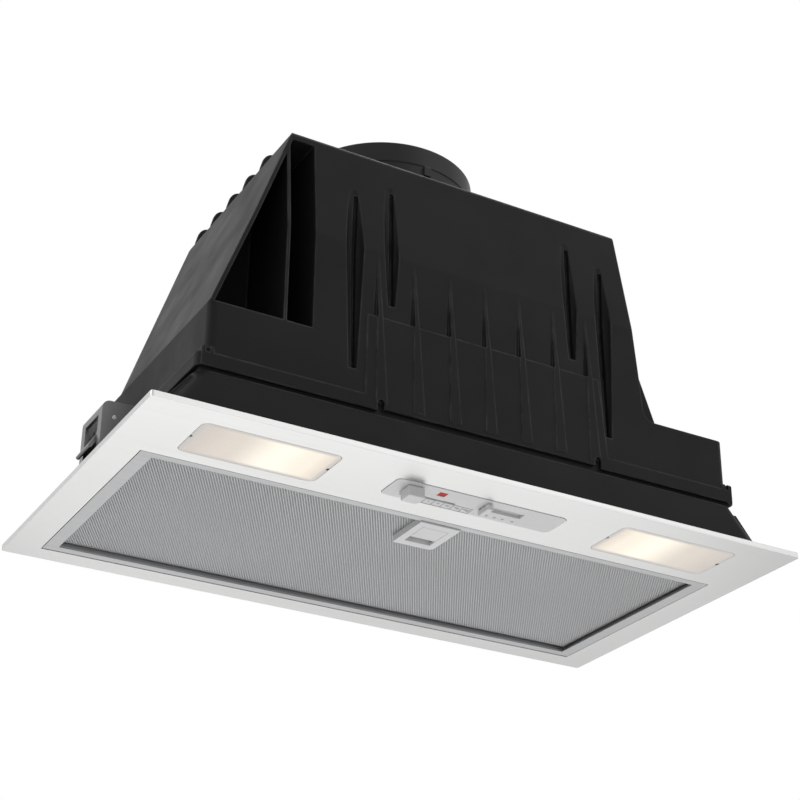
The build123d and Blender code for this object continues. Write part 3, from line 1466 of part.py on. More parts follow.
with BuildPart() as cable_gland:
    gland_out_y = box_depth / 2
    bar((terminal_x, rear_inside_y - terminal_cover, terminal_z), (terminal_x, gland_out_y, terminal_z),
        gland_neck)
    with BuildSketch(Plane.XZ.offset(-gland_out_y - gland_length / 2)):
        with Locations((terminal_x, terminal_z)):
            RegularPolygon(gland_radius, 6)
    extrude(amount=gland_length / 2)
    bar((terminal_x, gland_out_y, terminal_z), (terminal_x, gland_out_y + gland_length, terminal_z),
        gland_neck)
    bar((terminal_x, rear_inside_y - terminal_cover, terminal_z),
        (terminal_x, gland_out_y + gland_length, terminal_z), gland_bore, mode=Mode.SUBTRACT)
save(cable_gland, "cable_gland")

# ---- screws -----------------------------------------------------------------------------


def screw(seat, direction):
    """A pan-head screw whose head lies on its seat and whose shank runs the other way."""
    base = Vector(*seat)
    out = Vector(*direction)
    head_top = base + out * screw_head_height
    shank_end = base - out * screw_shank_length
    bar(tuple(base), tuple(head_top), screw_head_radius)
    bar(tuple(shank_end), tuple(base), screw_shank_radius)


with BuildPart() as collar_screws:
    for x, y in flange_screw_points:
        screw((x, y, top_z + collar_flange), (0, 0, 1))
save(collar_screws, "collar_screws")

with BuildPart() as motor_screws:
    for y, z in motor_screw_points:
        seat_x = bracket_x + bracket_arm_thickness
        bar((seat_x, y, z), (seat_x + screw_head_height, y, z), screw_head_radius)
        bar((side_plate_x - scroll_wall, y, z), (seat_x, y, z), screw_shank_radius)
save(motor_screws, "motor_screws")

with BuildPart() as terminal_screws:
    for side in (-1, 1):
        x = terminal_x + side * terminal_screw_reach
        bar((x, terminal_front_y - terminal_cover - screw_head_height, terminal_z),
            (x, terminal_front_y - terminal_cover, terminal_z), screw_head_radius)
        bar((x, terminal_front_y - terminal_cover, terminal_z),
            (x, terminal_front_y + screw_shank_length, terminal_z), screw_shank_radius)
save(terminal_screws, "terminal_screws")

with BuildPart() as housing_screws:
    for x in housing_screws_x:
        screw((x, band_depth / 2, housing_screw_z), (0, 1, 0))
save(housing_screws, "housing_screws")

# ---- the left-hand copies ---------------------------------------------------------------

pairs = [
    (lamp_lens_right, "lamp_lens_left"),
    (reflector_right, "reflector_left"),
    (lamp_holder_right, "lamp_holder_left"),
    (lamp_bulb_right, "lamp_bulb_left"),
    (clip_bracket_right, "clip_bracket_left"),
    (clip_pin_right, "clip_pin_left"),
    (clip_pawl_right, "clip_pawl_left"),
    (clip_spring_right, "clip_spring_left"),
]
for right_piece, left_name in pairs:
    with BuildPart() as left_piece:
        mirror(right_piece.part, about=Plane.YZ)
    save(left_piece, left_name)
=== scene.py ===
import json
import math

import bmesh
import bpy
from mathutils import Matrix, Vector


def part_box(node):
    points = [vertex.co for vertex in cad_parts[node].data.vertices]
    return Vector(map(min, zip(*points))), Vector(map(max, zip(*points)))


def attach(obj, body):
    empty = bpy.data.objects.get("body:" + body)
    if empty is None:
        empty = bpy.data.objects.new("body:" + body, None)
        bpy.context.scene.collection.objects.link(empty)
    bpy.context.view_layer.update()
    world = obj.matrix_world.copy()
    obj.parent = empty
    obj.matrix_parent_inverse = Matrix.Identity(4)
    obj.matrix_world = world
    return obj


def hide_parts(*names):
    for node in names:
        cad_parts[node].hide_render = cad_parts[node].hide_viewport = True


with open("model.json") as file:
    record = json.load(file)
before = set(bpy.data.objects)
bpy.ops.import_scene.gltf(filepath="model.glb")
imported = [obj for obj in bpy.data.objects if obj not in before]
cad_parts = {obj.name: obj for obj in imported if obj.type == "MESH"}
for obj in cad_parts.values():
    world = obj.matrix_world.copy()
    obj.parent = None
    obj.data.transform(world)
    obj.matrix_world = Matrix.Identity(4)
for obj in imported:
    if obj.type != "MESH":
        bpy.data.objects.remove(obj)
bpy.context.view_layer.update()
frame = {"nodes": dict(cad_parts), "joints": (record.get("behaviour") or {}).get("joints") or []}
NODES = frame["nodes"]
MM = 0.001

# ---- the stage: world, floor, lamps and the camera, in metres -------------------------------

WORLD_COLOUR = (0.97, 0.98, 1.0, 1)
WORLD_STRENGTH = 0.50
FLOOR_HEIGHT = -1.15
FLOOR_HALF = 40.0
FLOOR_TONE = 0.86
FLOOR_ROUGHNESS = 0.9
FLOOR_LIFT = 0.42               # added where the camera sees the floor, so that it stays pale
CAMERA_PLACE = (-0.6277, -1.1254, -0.5376)
CAMERA_AZIMUTH = 29.097         # degrees, from +Y towards +X
CAMERA_ELEVATION = 27.353       # degrees, upwards
CAMERA_ROLL = 0.639             # degrees
CAMERA_LENS = 81.52             # mm
CAMERA_SENSOR = 36.0            # mm
CAMERA_REACH = 50.0

# name, place, target, width, height, watts
SOFTBOXES = (
    ("front_low_softbox", (-1.0, -1.7, -0.5), (0, 0, 0.08), 1.2, 1.0, 4),
    ("front_high_softbox", (0.9, -1.7, 1.2), (0, 0, 0.12), 1.5, 1.2, 7),
    ("left_softbox", (-2.0, 0.3, 0.5), (0, 0, 0.12), 1.6, 1.4, 15),
    ("top_softbox", (0.3, 0.2, 2.0), (0, 0, 0.1), 1.6, 1.6, 18),
    ("right_softbox", (2.1, -0.5, 0.2), (0, 0, 0.1), 1.2, 1.2, 6),
    ("rear_low_softbox", (0.25, 0.6, -0.9), (-0.1, -0.1, 0), 1.0, 1.0, 3.9),
)

scene = bpy.context.scene
scene.view_settings.view_transform = "Standard"


def feed(tree, socket, value):
    """Gives a node's input a value, or links another node's output to it."""
    if isinstance(value, bpy.types.NodeSocket):
        tree.links.new(value, socket)
    else:
        socket.default_value = value


def maths(tree, operation, *values):
    """The result of a Math node on values or on other nodes' outputs."""
    node = tree.nodes.new("ShaderNodeMath")
    node.operation = operation
    for socket, value in zip(node.inputs, values):
        feed(tree, socket, value)
    return node.outputs[0]


def mixed(tree, share, first, second):
    """The output of two shaders mixed by a share."""
    mix = tree.nodes.new("ShaderNodeMixShader")
    for socket, source in zip(mix.inputs, (share, first, second)):
        tree.links.new(source, socket)
    return mix.outputs[0]


def seen_directly(tree):
    """1 for camera, glossy and transmission rays, and 0 for the rays that light the object."""
    ray = tree.nodes.new("ShaderNodeLightPath").outputs
    camera_or_gloss = maths(tree, "MAXIMUM", ray["Is Camera Ray"], ray["Is Glossy Ray"])
    return maths(tree, "MAXIMUM", camera_or_gloss, ray["Is Transmission Ray"])


def studio_world():
    world = bpy.data.worlds.new("studio_world")
    world.use_nodes = True
    tree = world.node_tree
    lit = tree.nodes["Background"]
    lit.inputs["Color"].default_value = WORLD_COLOUR
    lit.inputs["Strength"].default_value = WORLD_STRENGTH
    shown = tree.nodes.new("ShaderNodeBackground")
    shown.inputs["Color"].default_value = (1, 1, 1, 1)
    shown.inputs["Strength"].default_value = 1.0
    surface = mixed(tree, seen_directly(tree), lit.outputs[0], shown.outputs[0])
    tree.links.new(surface, tree.nodes["World Output"].inputs["Surface"])
    scene.world = world


def floor_paper():
    """Matt pale paper, lifted a little for the camera and white in reflections."""
    material = bpy.data.materials.new("floor_paper")
    material.use_nodes = True
    tree = material.node_tree
    paper = tree.nodes["Principled BSDF"]
    paper.inputs["Base Color"].default_value = (FLOOR_TONE, FLOOR_TONE, FLOOR_TONE, 1)
    paper.inputs["Roughness"].default_value = FLOOR_ROUGHNESS
    ray = tree.nodes.new("ShaderNodeLightPath").outputs
    lift = tree.nodes.new("ShaderNodeEmission")
    tree.links.new(maths(tree, "MULTIPLY", ray["Is Camera Ray"], FLOOR_LIFT), lift.inputs["Strength"])
    lifted = tree.nodes.new("ShaderNodeAddShader")
    tree.links.new(paper.outputs[0], lifted.inputs[0])
    tree.links.new(lift.outputs[0], lifted.inputs[1])
    white = tree.nodes.new("ShaderNodeEmission")
    surface = mixed(tree, ray["Is Glossy Ray"], lifted.outputs[0], white.outputs[0])
    tree.links.new(surface, tree.nodes["Material Output"].inputs["Surface"])
    return material


def studio_floor():
    signs = ((-1, -1), (1, -1), (1, 1), (-1, 1))
    corners = [(x * FLOOR_HALF, y * FLOOR_HALF, FLOOR_HEIGHT) for x, y in signs]
    mesh = bpy.data.meshes.new("studio_floor")
    mesh.from_pydata(corners, [], [(0, 1, 2, 3)])
    mesh.materials.append(floor_paper())
    floor = bpy.data.objects.new("studio_floor", mesh)
    scene.collection.objects.link(floor)


def softbox(name, place, target, width, height, watts):
    data = bpy.data.lights.new(name, "AREA")
    data.shape = "RECTANGLE"
    data.size = width
    data.size_y = height
    data.energy = watts
    lamp = bpy.data.objects.new(name, data)
    scene.collection.objects.link(lamp)
    lamp.location = place
    lamp.rotation_euler = (Vector(target) - Vector(place)).to_track_quat("-Z", "Y").to_euler()


def photograph_camera():
    azimuth = math.radians(CAMERA_AZIMUTH)
    elevation = math.radians(CAMERA_ELEVATION)
    roll = math.radians(CAMERA_ROLL)
    forward = Vector((
        math.sin(azimuth) * math.cos(elevation),
        math.cos(azimuth) * math.cos(elevation),
        math.sin(elevation),
    ))
    right = forward.cross(Vector((0, 0, 1))).normalized()
    up = right.cross(forward)
    across = math.cos(roll) * right + math.sin(roll) * up
    upward = math.cos(roll) * up - math.sin(roll) * right
    data = bpy.data.cameras.new("photograph_camera")
    data.sensor_width = CAMERA_SENSOR
    data.lens = CAMERA_LENS
    data.clip_end = CAMERA_REACH
    camera = bpy.data.objects.new("photograph_camera", data)
    scene.collection.objects.link(camera)
    turn = Matrix((across, upward, -forward)).transposed().to_4x4()
    camera.matrix_world = Matrix.Translation(CAMERA_PLACE) @ turn
    scene.camera = camera


studio_world()
studio_floor()
photograph_camera()
for box in SOFTBOXES:
    softbox(*box)

# ---- finishes -------------------------------------------------------------------------------

# most values of a noise lie between these
NOISE_LOW = 0.3
NOISE_HIGH = 0.7

# where the rounded and the true normal agree this well, a surface counts as flat
FLAT_COSINE = 0.999


class Finish:
    """A node material under construction, with short names for the nodes it is made of."""

    def __init__(self, name):
        self.material = bpy.data.materials.new(name)
        self.material.use_nodes = True
        self.tree = self.material.node_tree
        self.surface = self.tree.nodes["Principled BSDF"]
        self.place = self.tree.nodes.new("ShaderNodeTexCoord").outputs["Object"]

    def set(self, **values):
        """Sets the surface's own sockets, which are named with underscores."""
        for key, value in values.items():
            self.surface.inputs[key.replace("_", " ")].default_value = value

    def link(self, source, target):
        self.tree.links.new(source, target)

    def to_surface(self, name, source):
        self.link(source, self.surface.inputs[name])

    def maths(self, operation, *values):
        return maths(self.tree, operation, *values)

    def stretched(self, scale):
        mapping = self.tree.nodes.new("ShaderNodeMapping")
        mapping.inputs["Scale"].default_value = scale
        self.link(self.place, mapping.inputs["Vector"])
        return mapping.outputs["Vector"]

    def noise(self, scale, detail, stretch=None):
        node = self.tree.nodes.new("ShaderNodeTexNoise")
        node.inputs["Scale"].default_value = scale
        node.inputs["Detail"].default_value = detail
        self.link(self.stretched(stretch) if stretch else self.place, node.inputs["Vector"])
        return node.outputs["Fac"]

    def spread(self, source, low, high, start=NOISE_LOW, stop=NOISE_HIGH):
        """Brings a source's range from start to stop to the range from low to high."""
        node = self.tree.nodes.new("ShaderNodeMapRange")
        for key, value in (("From Min", start), ("From Max", stop), ("To Min", low), ("To Max", high)):
            node.inputs[key].default_value = value
        self.link(source, node.inputs["Value"])
        return node.outputs["Result"]

    def blend(self, share, first, second):
        """A colour between two, each given as a colour or as another node's output."""
        node = self.tree.nodes.new("ShaderNodeMix")
        node.data_type = "RGBA"
        self.link(share, node.inputs["Factor"])
        for name, colour in (("A", first), ("B", second)):
            feed(self.tree, node.inputs[name], (*colour, 1) if isinstance(colour, tuple) else colour)
        return node.outputs["Result"]

    def rounded_edge(self, radius):
        node = self.tree.nodes.new("ShaderNodeBevel")
        node.samples = 4
        node.inputs["Radius"].default_value = radius
        return node.outputs["Normal"]

    def edge_share(self, rounded, width):
        """1 along sharp edges and 0 on the flats."""
        geometry = self.tree.nodes.new("ShaderNodeNewGeometry")
        dot = self.tree.nodes.new("ShaderNodeVectorMath")
        dot.operation = "DOT_PRODUCT"
        self.link(rounded, dot.inputs[0])
        self.link(geometry.outputs["Normal"], dot.inputs[1])
        return self.spread(dot.outputs["Value"], 1.0, 0.0, 1.0 - width, FLAT_COSINE)

    def bump(self, height, strength, distance, normal):
        node = self.tree.nodes.new("ShaderNodeBump")
        node.inputs["Strength"].default_value = strength
        node.inputs["Distance"].default_value = distance
        self.link(height, node.inputs["Height"])
        self.link(normal, node.inputs["Normal"])
        self.to_surface("Normal", node.outputs["Normal"])


# scales of the patterns, in features per metre
CLOUDS = 6
PATCHES = 9
GLOSS_PATCHES = 25
GLASS_PATCHES = 40
HIGHLIGHT_BREAKUP = 60
FROST = 900
GRAIN = 2200

# how much brighter than the metal its fine lines are, and how much brighter its folded edges are painted as
# a highlight
LINE_GAIN = 1.12
FOLD_HIGHLIGHT_GAIN = 1.25


def moulded_plastic(name, colour, patch, edge_highlight, roughness, rounding=1.2 * MM, specular=0.5):
    """Satin moulded plastic: soft patches of tone, fine grain, and a highlight painted lighter along the
    edges, broken up by noise.
    """
    f = Finish(name)
    f.set(Specular_IOR_Level=specular)
    tone = f.blend(f.spread(f.noise(PATCHES, 4), 0, 1), colour, patch)
    soft = f.rounded_edge(rounding)
    # painted highlight: the rounded edges are painted lighter than the plastic, broken up by a noise
    highlight_breakup = f.spread(f.noise(HIGHLIGHT_BREAKUP, 5), 0.15, 0.8)
    highlight_share = f.maths("MULTIPLY", f.edge_share(soft, width=0.35), highlight_breakup)
    f.to_surface("Base Color", f.blend(highlight_share, tone, edge_highlight))
    f.to_surface("Roughness", f.spread(f.noise(GLOSS_PATCHES, 4), roughness - 0.06, roughness + 0.07))
    f.bump(f.noise(GRAIN, 2), strength=0.10, distance=0.2 * MM, normal=soft)
    return f.material


def brighter(colour, gain):
    """The colour times a gain, with no part over 1."""
    return tuple(min(1.0, part * gain) for part in colour)


def sheet_metal(name, colour, patch, roughness, along=(3, 900, 900), anisotropic=0.0):
    """Brushed or rolled metal: fine lines along one way, faint cloudy patches, and folded edges painted
    brighter as a highlight.
    """
    f = Finish(name)
    f.set(Metallic=1.0, Anisotropic=anisotropic)
    lines = f.noise(1.0, 3, stretch=along)
    tone = f.blend(f.spread(f.noise(CLOUDS, 3), 0, 1), colour, patch)
    fine = f.blend(f.spread(lines, 0.0, 0.35), tone, brighter(colour, LINE_GAIN))
    soft = f.rounded_edge(0.4 * MM)
    # painted highlight: the folded edges are painted brighter than the metal
    fold_highlight_share = f.edge_share(soft, width=0.4)
    f.to_surface("Base Color", f.blend(fold_highlight_share, fine, brighter(colour, FOLD_HIGHLIGHT_GAIN)))
    f.to_surface("Roughness", f.spread(lines, roughness - 0.05, roughness + 0.08))
    f.bump(lines, strength=0.06, distance=0.1 * MM, normal=soft)
    return f.material


# the glow at a window's outer end, at shares of its length from there, and at its inner end
OUTER_GLOW = (0.22, 0.175, 0.13)
GLOWS_BETWEEN = ((0.30, (0.32, 0.26, 0.19)), (0.62, (0.64, 0.58, 0.45)), (0.84, (0.54, 0.47, 0.35)))
INNER_GLOW = (0.34, 0.26, 0.18)

# the border's glow, and how far in from the window's edge it begins and ends to fade
BORDER_GLOW = (0.16, 0.14, 0.12)
BORDER_WIDTH = 1.2 * MM
BORDER_FADED = 4.5 * MM

FROST_COLOURS = ((0.43, 0.42, 0.41), (0.38, 0.375, 0.37))


def glow_along(f, across, outer, inner):
    """The warm glow from a window's outer end to its inner end."""
    ramp = f.tree.nodes.new("ShaderNodeValToRGB")
    ramp.color_ramp.interpolation = "EASE"
    stops = ramp.color_ramp.elements
    stops[0].color = (*OUTER_GLOW, 1)
    stops[1].color = (*INNER_GLOW, 1)
    for share, colour in GLOWS_BETWEEN:
        stops.new(share).color = (*colour, 1)
    f.link(f.spread(across, 0.0, 1.0, outer, inner), ramp.inputs["Fac"])
    return ramp.outputs["Color"]


def edge_distance(f, place, low, high):
    """The distance to the nearest edge of a window that lies flat between two corners."""
    nearest = None
    for axis in (0, 1):
        for corner in (low, high):
            gap = f.maths("ABSOLUTE", f.maths("SUBTRACT", place[axis], corner[axis]))
            nearest = gap if nearest is None else f.maths("MINIMUM", nearest, gap)
    return nearest


def lit_glass(node, inner_sign):
    """Frosted window: a warm glow nearest the lamp, greyer ends and a plain welted border."""
    low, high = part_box(node)
    f = Finish(f"{node}_glow")
    split = f.tree.nodes.new("ShaderNodeSeparateXYZ")
    f.link(f.place, split.inputs[0])
    outer, inner = (low[0], high[0]) if inner_sign > 0 else (high[0], low[0])
    glow = glow_along(f, split.outputs["X"], outer, inner)
    distance = edge_distance(f, split.outputs, low, high)
    inside = f.spread(distance, 0.0, 1.0, BORDER_WIDTH, BORDER_FADED)
    f.to_surface("Emission Color", f.blend(inside, BORDER_GLOW, glow))
    f.set(Emission_Strength=1.0)
    frost = f.noise(FROST, 2)
    f.to_surface("Base Color", f.blend(f.spread(frost, 0, 1), *FROST_COLOURS))
    f.to_surface("Roughness", f.spread(f.noise(GLASS_PATCHES, 3), 0.34, 0.46))
    f.bump(frost, strength=0.15, distance=0.2 * MM, normal=f.rounded_edge(0.5 * MM))
    return f.material


# plastics: colour, colour of the patches, colour of the painted edge highlight, roughness
BLACK = moulded_plastic(
    "black_moulding", (0.011, 0.011, 0.0113), (0.014, 0.014, 0.0143), (0.13, 0.13, 0.132), 0.46,
    rounding=2.2 * MM, specular=0.06,
)
GLOSS_BLACK = moulded_plastic(
    "collar_black", (0.011, 0.011, 0.012), (0.015, 0.015, 0.016), (0.09, 0.09, 0.092), 0.40,
    specular=0.16,
)
WHEEL = moulded_plastic("wheel_grey", (0.10, 0.10, 0.105), (0.12, 0.12, 0.125), (0.2, 0.2, 0.2), 0.5)
INNER = moulded_plastic("inner_grey", (0.22, 0.22, 0.225), (0.26, 0.26, 0.265), (0.36, 0.36, 0.36), 0.55)
STRIP = moulded_plastic(
    "strip_grey", (0.54, 0.54, 0.535), (0.57, 0.57, 0.565), (0.74, 0.74, 0.735), 0.42,
    rounding=0.4 * MM,
)
KNOB = moulded_plastic(
    "knob_grey", (0.53, 0.53, 0.525), (0.57, 0.57, 0.565), (0.74, 0.74, 0.735), 0.36,
    rounding=0.5 * MM,
)
LATCH = moulded_plastic(
    "latch_grey", (0.54, 0.54, 0.535), (0.58, 0.58, 0.575), (0.76, 0.76, 0.755), 0.34,
    rounding=0.5 * MM,
)
PRINT = moulded_plastic(
    "symbol_print", (0.18, 0.18, 0.18), (0.23, 0.23, 0.23), (0.3, 0.3, 0.3), 0.5,
    rounding=0.1 * MM,
)
HOLDER = moulded_plastic("holder_ceramic", (0.75, 0.72, 0.66), (0.80, 0.77, 0.71), (0.9, 0.88, 0.84), 0.6)
RED = moulded_plastic(
    "red_lens", (0.44, 0.005, 0.005), (0.50, 0.008, 0.008), (0.52, 0.03, 0.03), 0.4,
    rounding=0.4 * MM, specular=0.1,
)

# metals: colour, colour of the patches, roughness, and the scale of the lines along X, Y and Z
PANEL = sheet_metal("panel_steel", (0.49, 0.492, 0.485), (0.51, 0.512, 0.505), 0.36, anisotropic=0.3)
FILTER = sheet_metal(
    "filter_aluminium", (0.38, 0.387, 0.39), (0.42, 0.427, 0.43), 0.58, along=(300, 300, 300),
)
FRAME = sheet_metal("frame_aluminium", (0.33, 0.334, 0.336), (0.37, 0.374, 0.376), 0.45)
# painted shade: the filter's inner aluminium layers are coloured near black, as the shade inside the filter
SHADED_CORE = sheet_metal(
    "core_aluminium_painted_shade", (0.045, 0.046, 0.047), (0.055, 0.056, 0.057), 0.62, along=(700, 700, 700),
)
ZINC = sheet_metal("zinc_plate", (0.17, 0.17, 0.173), (0.22, 0.22, 0.223), 0.40, along=(60, 60, 60))
SPRING = sheet_metal("spring_steel", (0.72, 0.72, 0.73), (0.78, 0.78, 0.79), 0.22, along=(200, 200, 200))
REFLECTOR = sheet_metal("reflector_sheet", (0.85, 0.85, 0.84), (0.88, 0.88, 0.87), 0.15)
MOTOR = sheet_metal("motor_can", (0.45, 0.455, 0.46), (0.52, 0.525, 0.53), 0.4, along=(900, 3, 900))


def paint(material, *names):
    for name in names:
        slots = NODES[name].data.materials
        slots.clear()
        slots.append(material)


paint(BLACK, "fan_housing", "base_tray", "scroll", "flap_left", "flap_right", "cable_gland")
paint(GLOSS_BLACK, "duct_collar")
paint(WHEEL, "impeller")
paint(INNER, "switch_body", "terminal_box", "terminal_cover", "capacitor")
paint(STRIP, "control_plate")
paint(KNOB, "fan_slider_knob", "light_slider_knob")
paint(LATCH, "latch_plate", "latch_slider")
paint(PRINT, "control_symbols")
paint(RED, "indicator_lens")
paint(HOLDER, "lamp_holder_left", "lamp_holder_right")
paint(PANEL, "facia_panel")
paint(FRAME, "filter_frame")
paint(FILTER, "filter_mesh", "filter_back")
paint(SHADED_CORE, "filter_core")
paint(ZINC, "clip_bracket_left", "clip_bracket_right", "clip_pawl_left", "clip_pawl_right", "motor_bracket")
paint(SPRING, "clip_pin_left", "clip_pin_right", "clip_spring_left", "clip_spring_right", "flap_pin")
paint(SPRING, "motor_shaft", "collar_screws", "motor_screws", "terminal_screws", "housing_screws")
paint(MOTOR, "motor_body")
paint(REFLECTOR, "reflector_left", "reflector_right")
for glass in ("lamp_lens", "lamp_bulb"):
    paint(lit_glass(f"{glass}_left", 1), f"{glass}_left")
    paint(lit_glass(f"{glass}_right", -1), f"{glass}_right")

# ---- trees that make what repeats: perforations, screws and coils ---------------------------

ROW_SHARE = math.sqrt(3) / 2    # distance between rows of holes, as a share of the pitch
SHEET_WELD = 0.02 * MM
HEAD_SIDES = 40
SHANK_SIDES = 24
POINTS_PER_TURN = 40
WIRE_SIDES = 10


class Tree:
    """A Geometry Nodes tree under construction, whose inputs are named and kept by identifier."""

    def __init__(self, name):
        self.group = bpy.data.node_groups.new(name, "GeometryNodeTree")
        self.group.interface.new_socket("Geometry", in_out="INPUT", socket_type="NodeSocketGeometry")
        self.group.interface.new_socket("Geometry", in_out="OUTPUT", socket_type="NodeSocketGeometry")
        self.given = self.group.nodes.new("NodeGroupInput").outputs
        self.keys = {}

    def input(self, name, kind, value):
        socket = self.group.interface.new_socket(name, in_out="INPUT", socket_type=f"NodeSocket{kind}")
        socket.default_value = value
        self.keys[name] = socket.identifier

    def add(self, kind, **inputs):
        """A node whose inputs, named with underscores, are given as values or as other sockets."""
        node = self.group.nodes.new(kind)
        for name, value in inputs.items():
            feed(self.group, node.inputs[name.replace("_", " ")], value)
        return node

    def maths(self, operation, a, b):
        return maths(self.group, operation, a, b)

    def vector(self, x=0.0, y=0.0, z=0.0):
        return self.add("ShaderNodeCombineXYZ", X=x, Y=y, Z=z).outputs[0]

    def moved(self, geometry, offset):
        return self.add("GeometryNodeTransform", Geometry=geometry, Translation=offset).outputs[0]

    def join(self, target, *pieces):
        """Links several geometries to one input that takes them all."""
        for piece in pieces:
            self.group.links.new(piece, target)

    def finish(self, geometry, material):
        real = self.add("GeometryNodeRealizeInstances", Geometry=geometry)
        painted = self.add("GeometryNodeSetMaterial", Geometry=real.outputs[0], Material=material)
        self.group.links.new(painted.outputs[0], self.group.nodes.new("NodeGroupOutput").inputs[0])


def perforated_tree(material):
    """A closed sheet with staggered rows of diamond holes, as fine filter mesh has."""
    t = Tree("perforated_sheet")
    t.input("Hole Pitch", "Float", 2.2 * MM)
    t.input("Hole Share", "Float", 0.6)
    t.input("Sheet Thickness", "Float", 0.8 * MM)
    t.input("Columns", "Int", 10)
    t.input("Rows", "Int", 10)
    t.input("Middle", "Vector", (0, 0, 0))
    given = t.given
    pitch = given["Hole Pitch"]
    half_pitch = t.maths("MULTIPLY", pitch, 0.5)
    row_gap = t.maths("MULTIPLY", pitch, ROW_SHARE)

    # one cell: a diamond with a smaller diamond taken out of its middle
    diamond = t.group.nodes.new("GeometryNodeMeshCircle")
    diamond.fill_type = "NGON"
    diamond.inputs["Vertices"].default_value = 4
    cell = t.add(
        "GeometryNodeTransform", Geometry=diamond.outputs["Mesh"], Scale=t.vector(half_pitch, row_gap, 1.0),
    )
    inset = t.add("GeometryNodeExtrudeMesh", Mesh=cell.outputs[0], Offset_Scale=0.0)
    shrink = t.add(
        "GeometryNodeScaleElements", Geometry=inset.outputs["Mesh"], Selection=inset.outputs["Top"],
        Scale=given["Hole Share"],
    )
    ring = t.add("GeometryNodeDeleteGeometry", Geometry=shrink.outputs[0], Selection=inset.outputs["Top"])
    ring.domain = "FACE"

    # a cell on each point of a grid, with every second row moved over by half a pitch
    grid = t.add(
        "GeometryNodeMeshGrid",
        Size_X=t.maths("MULTIPLY", pitch, t.maths("SUBTRACT", given["Columns"], 1)),
        Size_Y=t.maths("MULTIPLY", row_gap, t.maths("SUBTRACT", given["Rows"], 1)),
        Vertices_X=given["Columns"], Vertices_Y=given["Rows"],
    )
    row = t.maths("MODULO", t.group.nodes.new("GeometryNodeInputIndex").outputs[0], given["Rows"])
    stagger = t.maths("MULTIPLY", t.maths("MODULO", row, 2.0), half_pitch)
    shift = t.group.nodes.new("ShaderNodeVectorMath")
    feed(t.group, shift.inputs[0], t.vector(x=stagger))
    feed(t.group, shift.inputs[1], given["Middle"])
    points = t.add("GeometryNodeSetPosition", Geometry=grid.outputs["Mesh"], Offset=shift.outputs[0])
    laid = t.add("GeometryNodeInstanceOnPoints", Points=points.outputs[0], Instance=ring.outputs[0])
    real = t.add("GeometryNodeRealizeInstances", Geometry=laid.outputs[0])
    flat = t.add("GeometryNodeMergeByDistance", Geometry=real.outputs[0], Distance=SHEET_WELD)

    # the flat pattern and its raised copy, welded into one closed sheet
    raised = t.add(
        "GeometryNodeExtrudeMesh", Mesh=flat.outputs[0], Offset=(0, 0, 1),
        Offset_Scale=given["Sheet Thickness"], Individual=False,
    )
    underside = t.add("GeometryNodeFlipFaces", Mesh=flat.outputs[0])
    both = t.group.nodes.new("GeometryNodeJoinGeometry")
    t.join(both.inputs[0], raised.outputs["Mesh"], underside.outputs[0])
    welded = t.add("GeometryNodeMergeByDistance", Geometry=both.outputs[0], Distance=SHEET_WELD)
    t.finish(welded.outputs[0], material)
    return t


def screw_tree(material):
    """Pan-head screws with a cross recess, one on each vertex of the mesh it is given."""
    t = Tree("cross_recess_screws")
    t.input("Head Radius", "Float", 3.6 * MM)
    t.input("Head Height", "Float", 2.2 * MM)
    t.input("Shank Radius", "Float", 1.7 * MM)
    t.input("Shank Length", "Float", 8 * MM)
    t.input("Recess Width", "Float", 1.1 * MM)
    t.input("Recess Length", "Float", 4.2 * MM)
    t.input("Recess Depth", "Float", 1.2 * MM)
    t.input("Direction", "Vector", (0, 0, 1))
    given = t.given
    half_head = t.maths("MULTIPLY", given["Head Height"], 0.5)
    head = t.add(
        "GeometryNodeMeshCylinder", Vertices=HEAD_SIDES, Radius=given["Head Radius"],
        Depth=given["Head Height"],
    )
    head_mesh = t.moved(head.outputs[0], t.vector(z=half_head))

    # the shank reaches from its tip to the middle of the head
    shank = t.add(
        "GeometryNodeMeshCylinder", Vertices=SHANK_SIDES, Radius=given["Shank Radius"],
        Depth=t.maths("ADD", given["Shank Length"], half_head),
    )
    drop = t.maths("MULTIPLY", given["Shank Length"], -0.5)
    lift = t.maths("MULTIPLY", given["Head Height"], 0.25)
    shank_mesh = t.moved(shank.outputs[0], t.vector(z=t.maths("ADD", drop, lift)))
    whole = t.group.nodes.new("GeometryNodeMeshBoolean")
    whole.operation = "UNION"
    t.join(whole.inputs["Mesh 2"], head_mesh, shank_mesh)

    # the two arms of the cross, centred on the head's top, so that half of their height cuts in
    depth = t.maths("MULTIPLY", given["Recess Depth"], 2.0)
    cut = t.group.nodes.new("GeometryNodeMeshBoolean")
    cut.operation = "DIFFERENCE"
    t.group.links.new(whole.outputs["Mesh"], cut.inputs["Mesh 1"])
    arm_size = (given["Recess Length"], given["Recess Width"])
    for x, y in (arm_size, arm_size[::-1]):
        arm = t.add("GeometryNodeMeshCube", Size=t.vector(x, y, depth))
        t.join(cut.inputs["Mesh 2"], t.moved(arm.outputs[0], t.vector(z=given["Head Height"])))
    aim = t.group.nodes.new("FunctionNodeAlignRotationToVector")
    aim.axis = "Z"
    feed(t.group, aim.inputs["Vector"], given["Direction"])
    laid = t.add(
        "GeometryNodeInstanceOnPoints", Points=given["Geometry"], Instance=cut.outputs["Mesh"],
        Rotation=aim.outputs[0],
    )
    t.finish(laid.outputs[0], material)
    return t


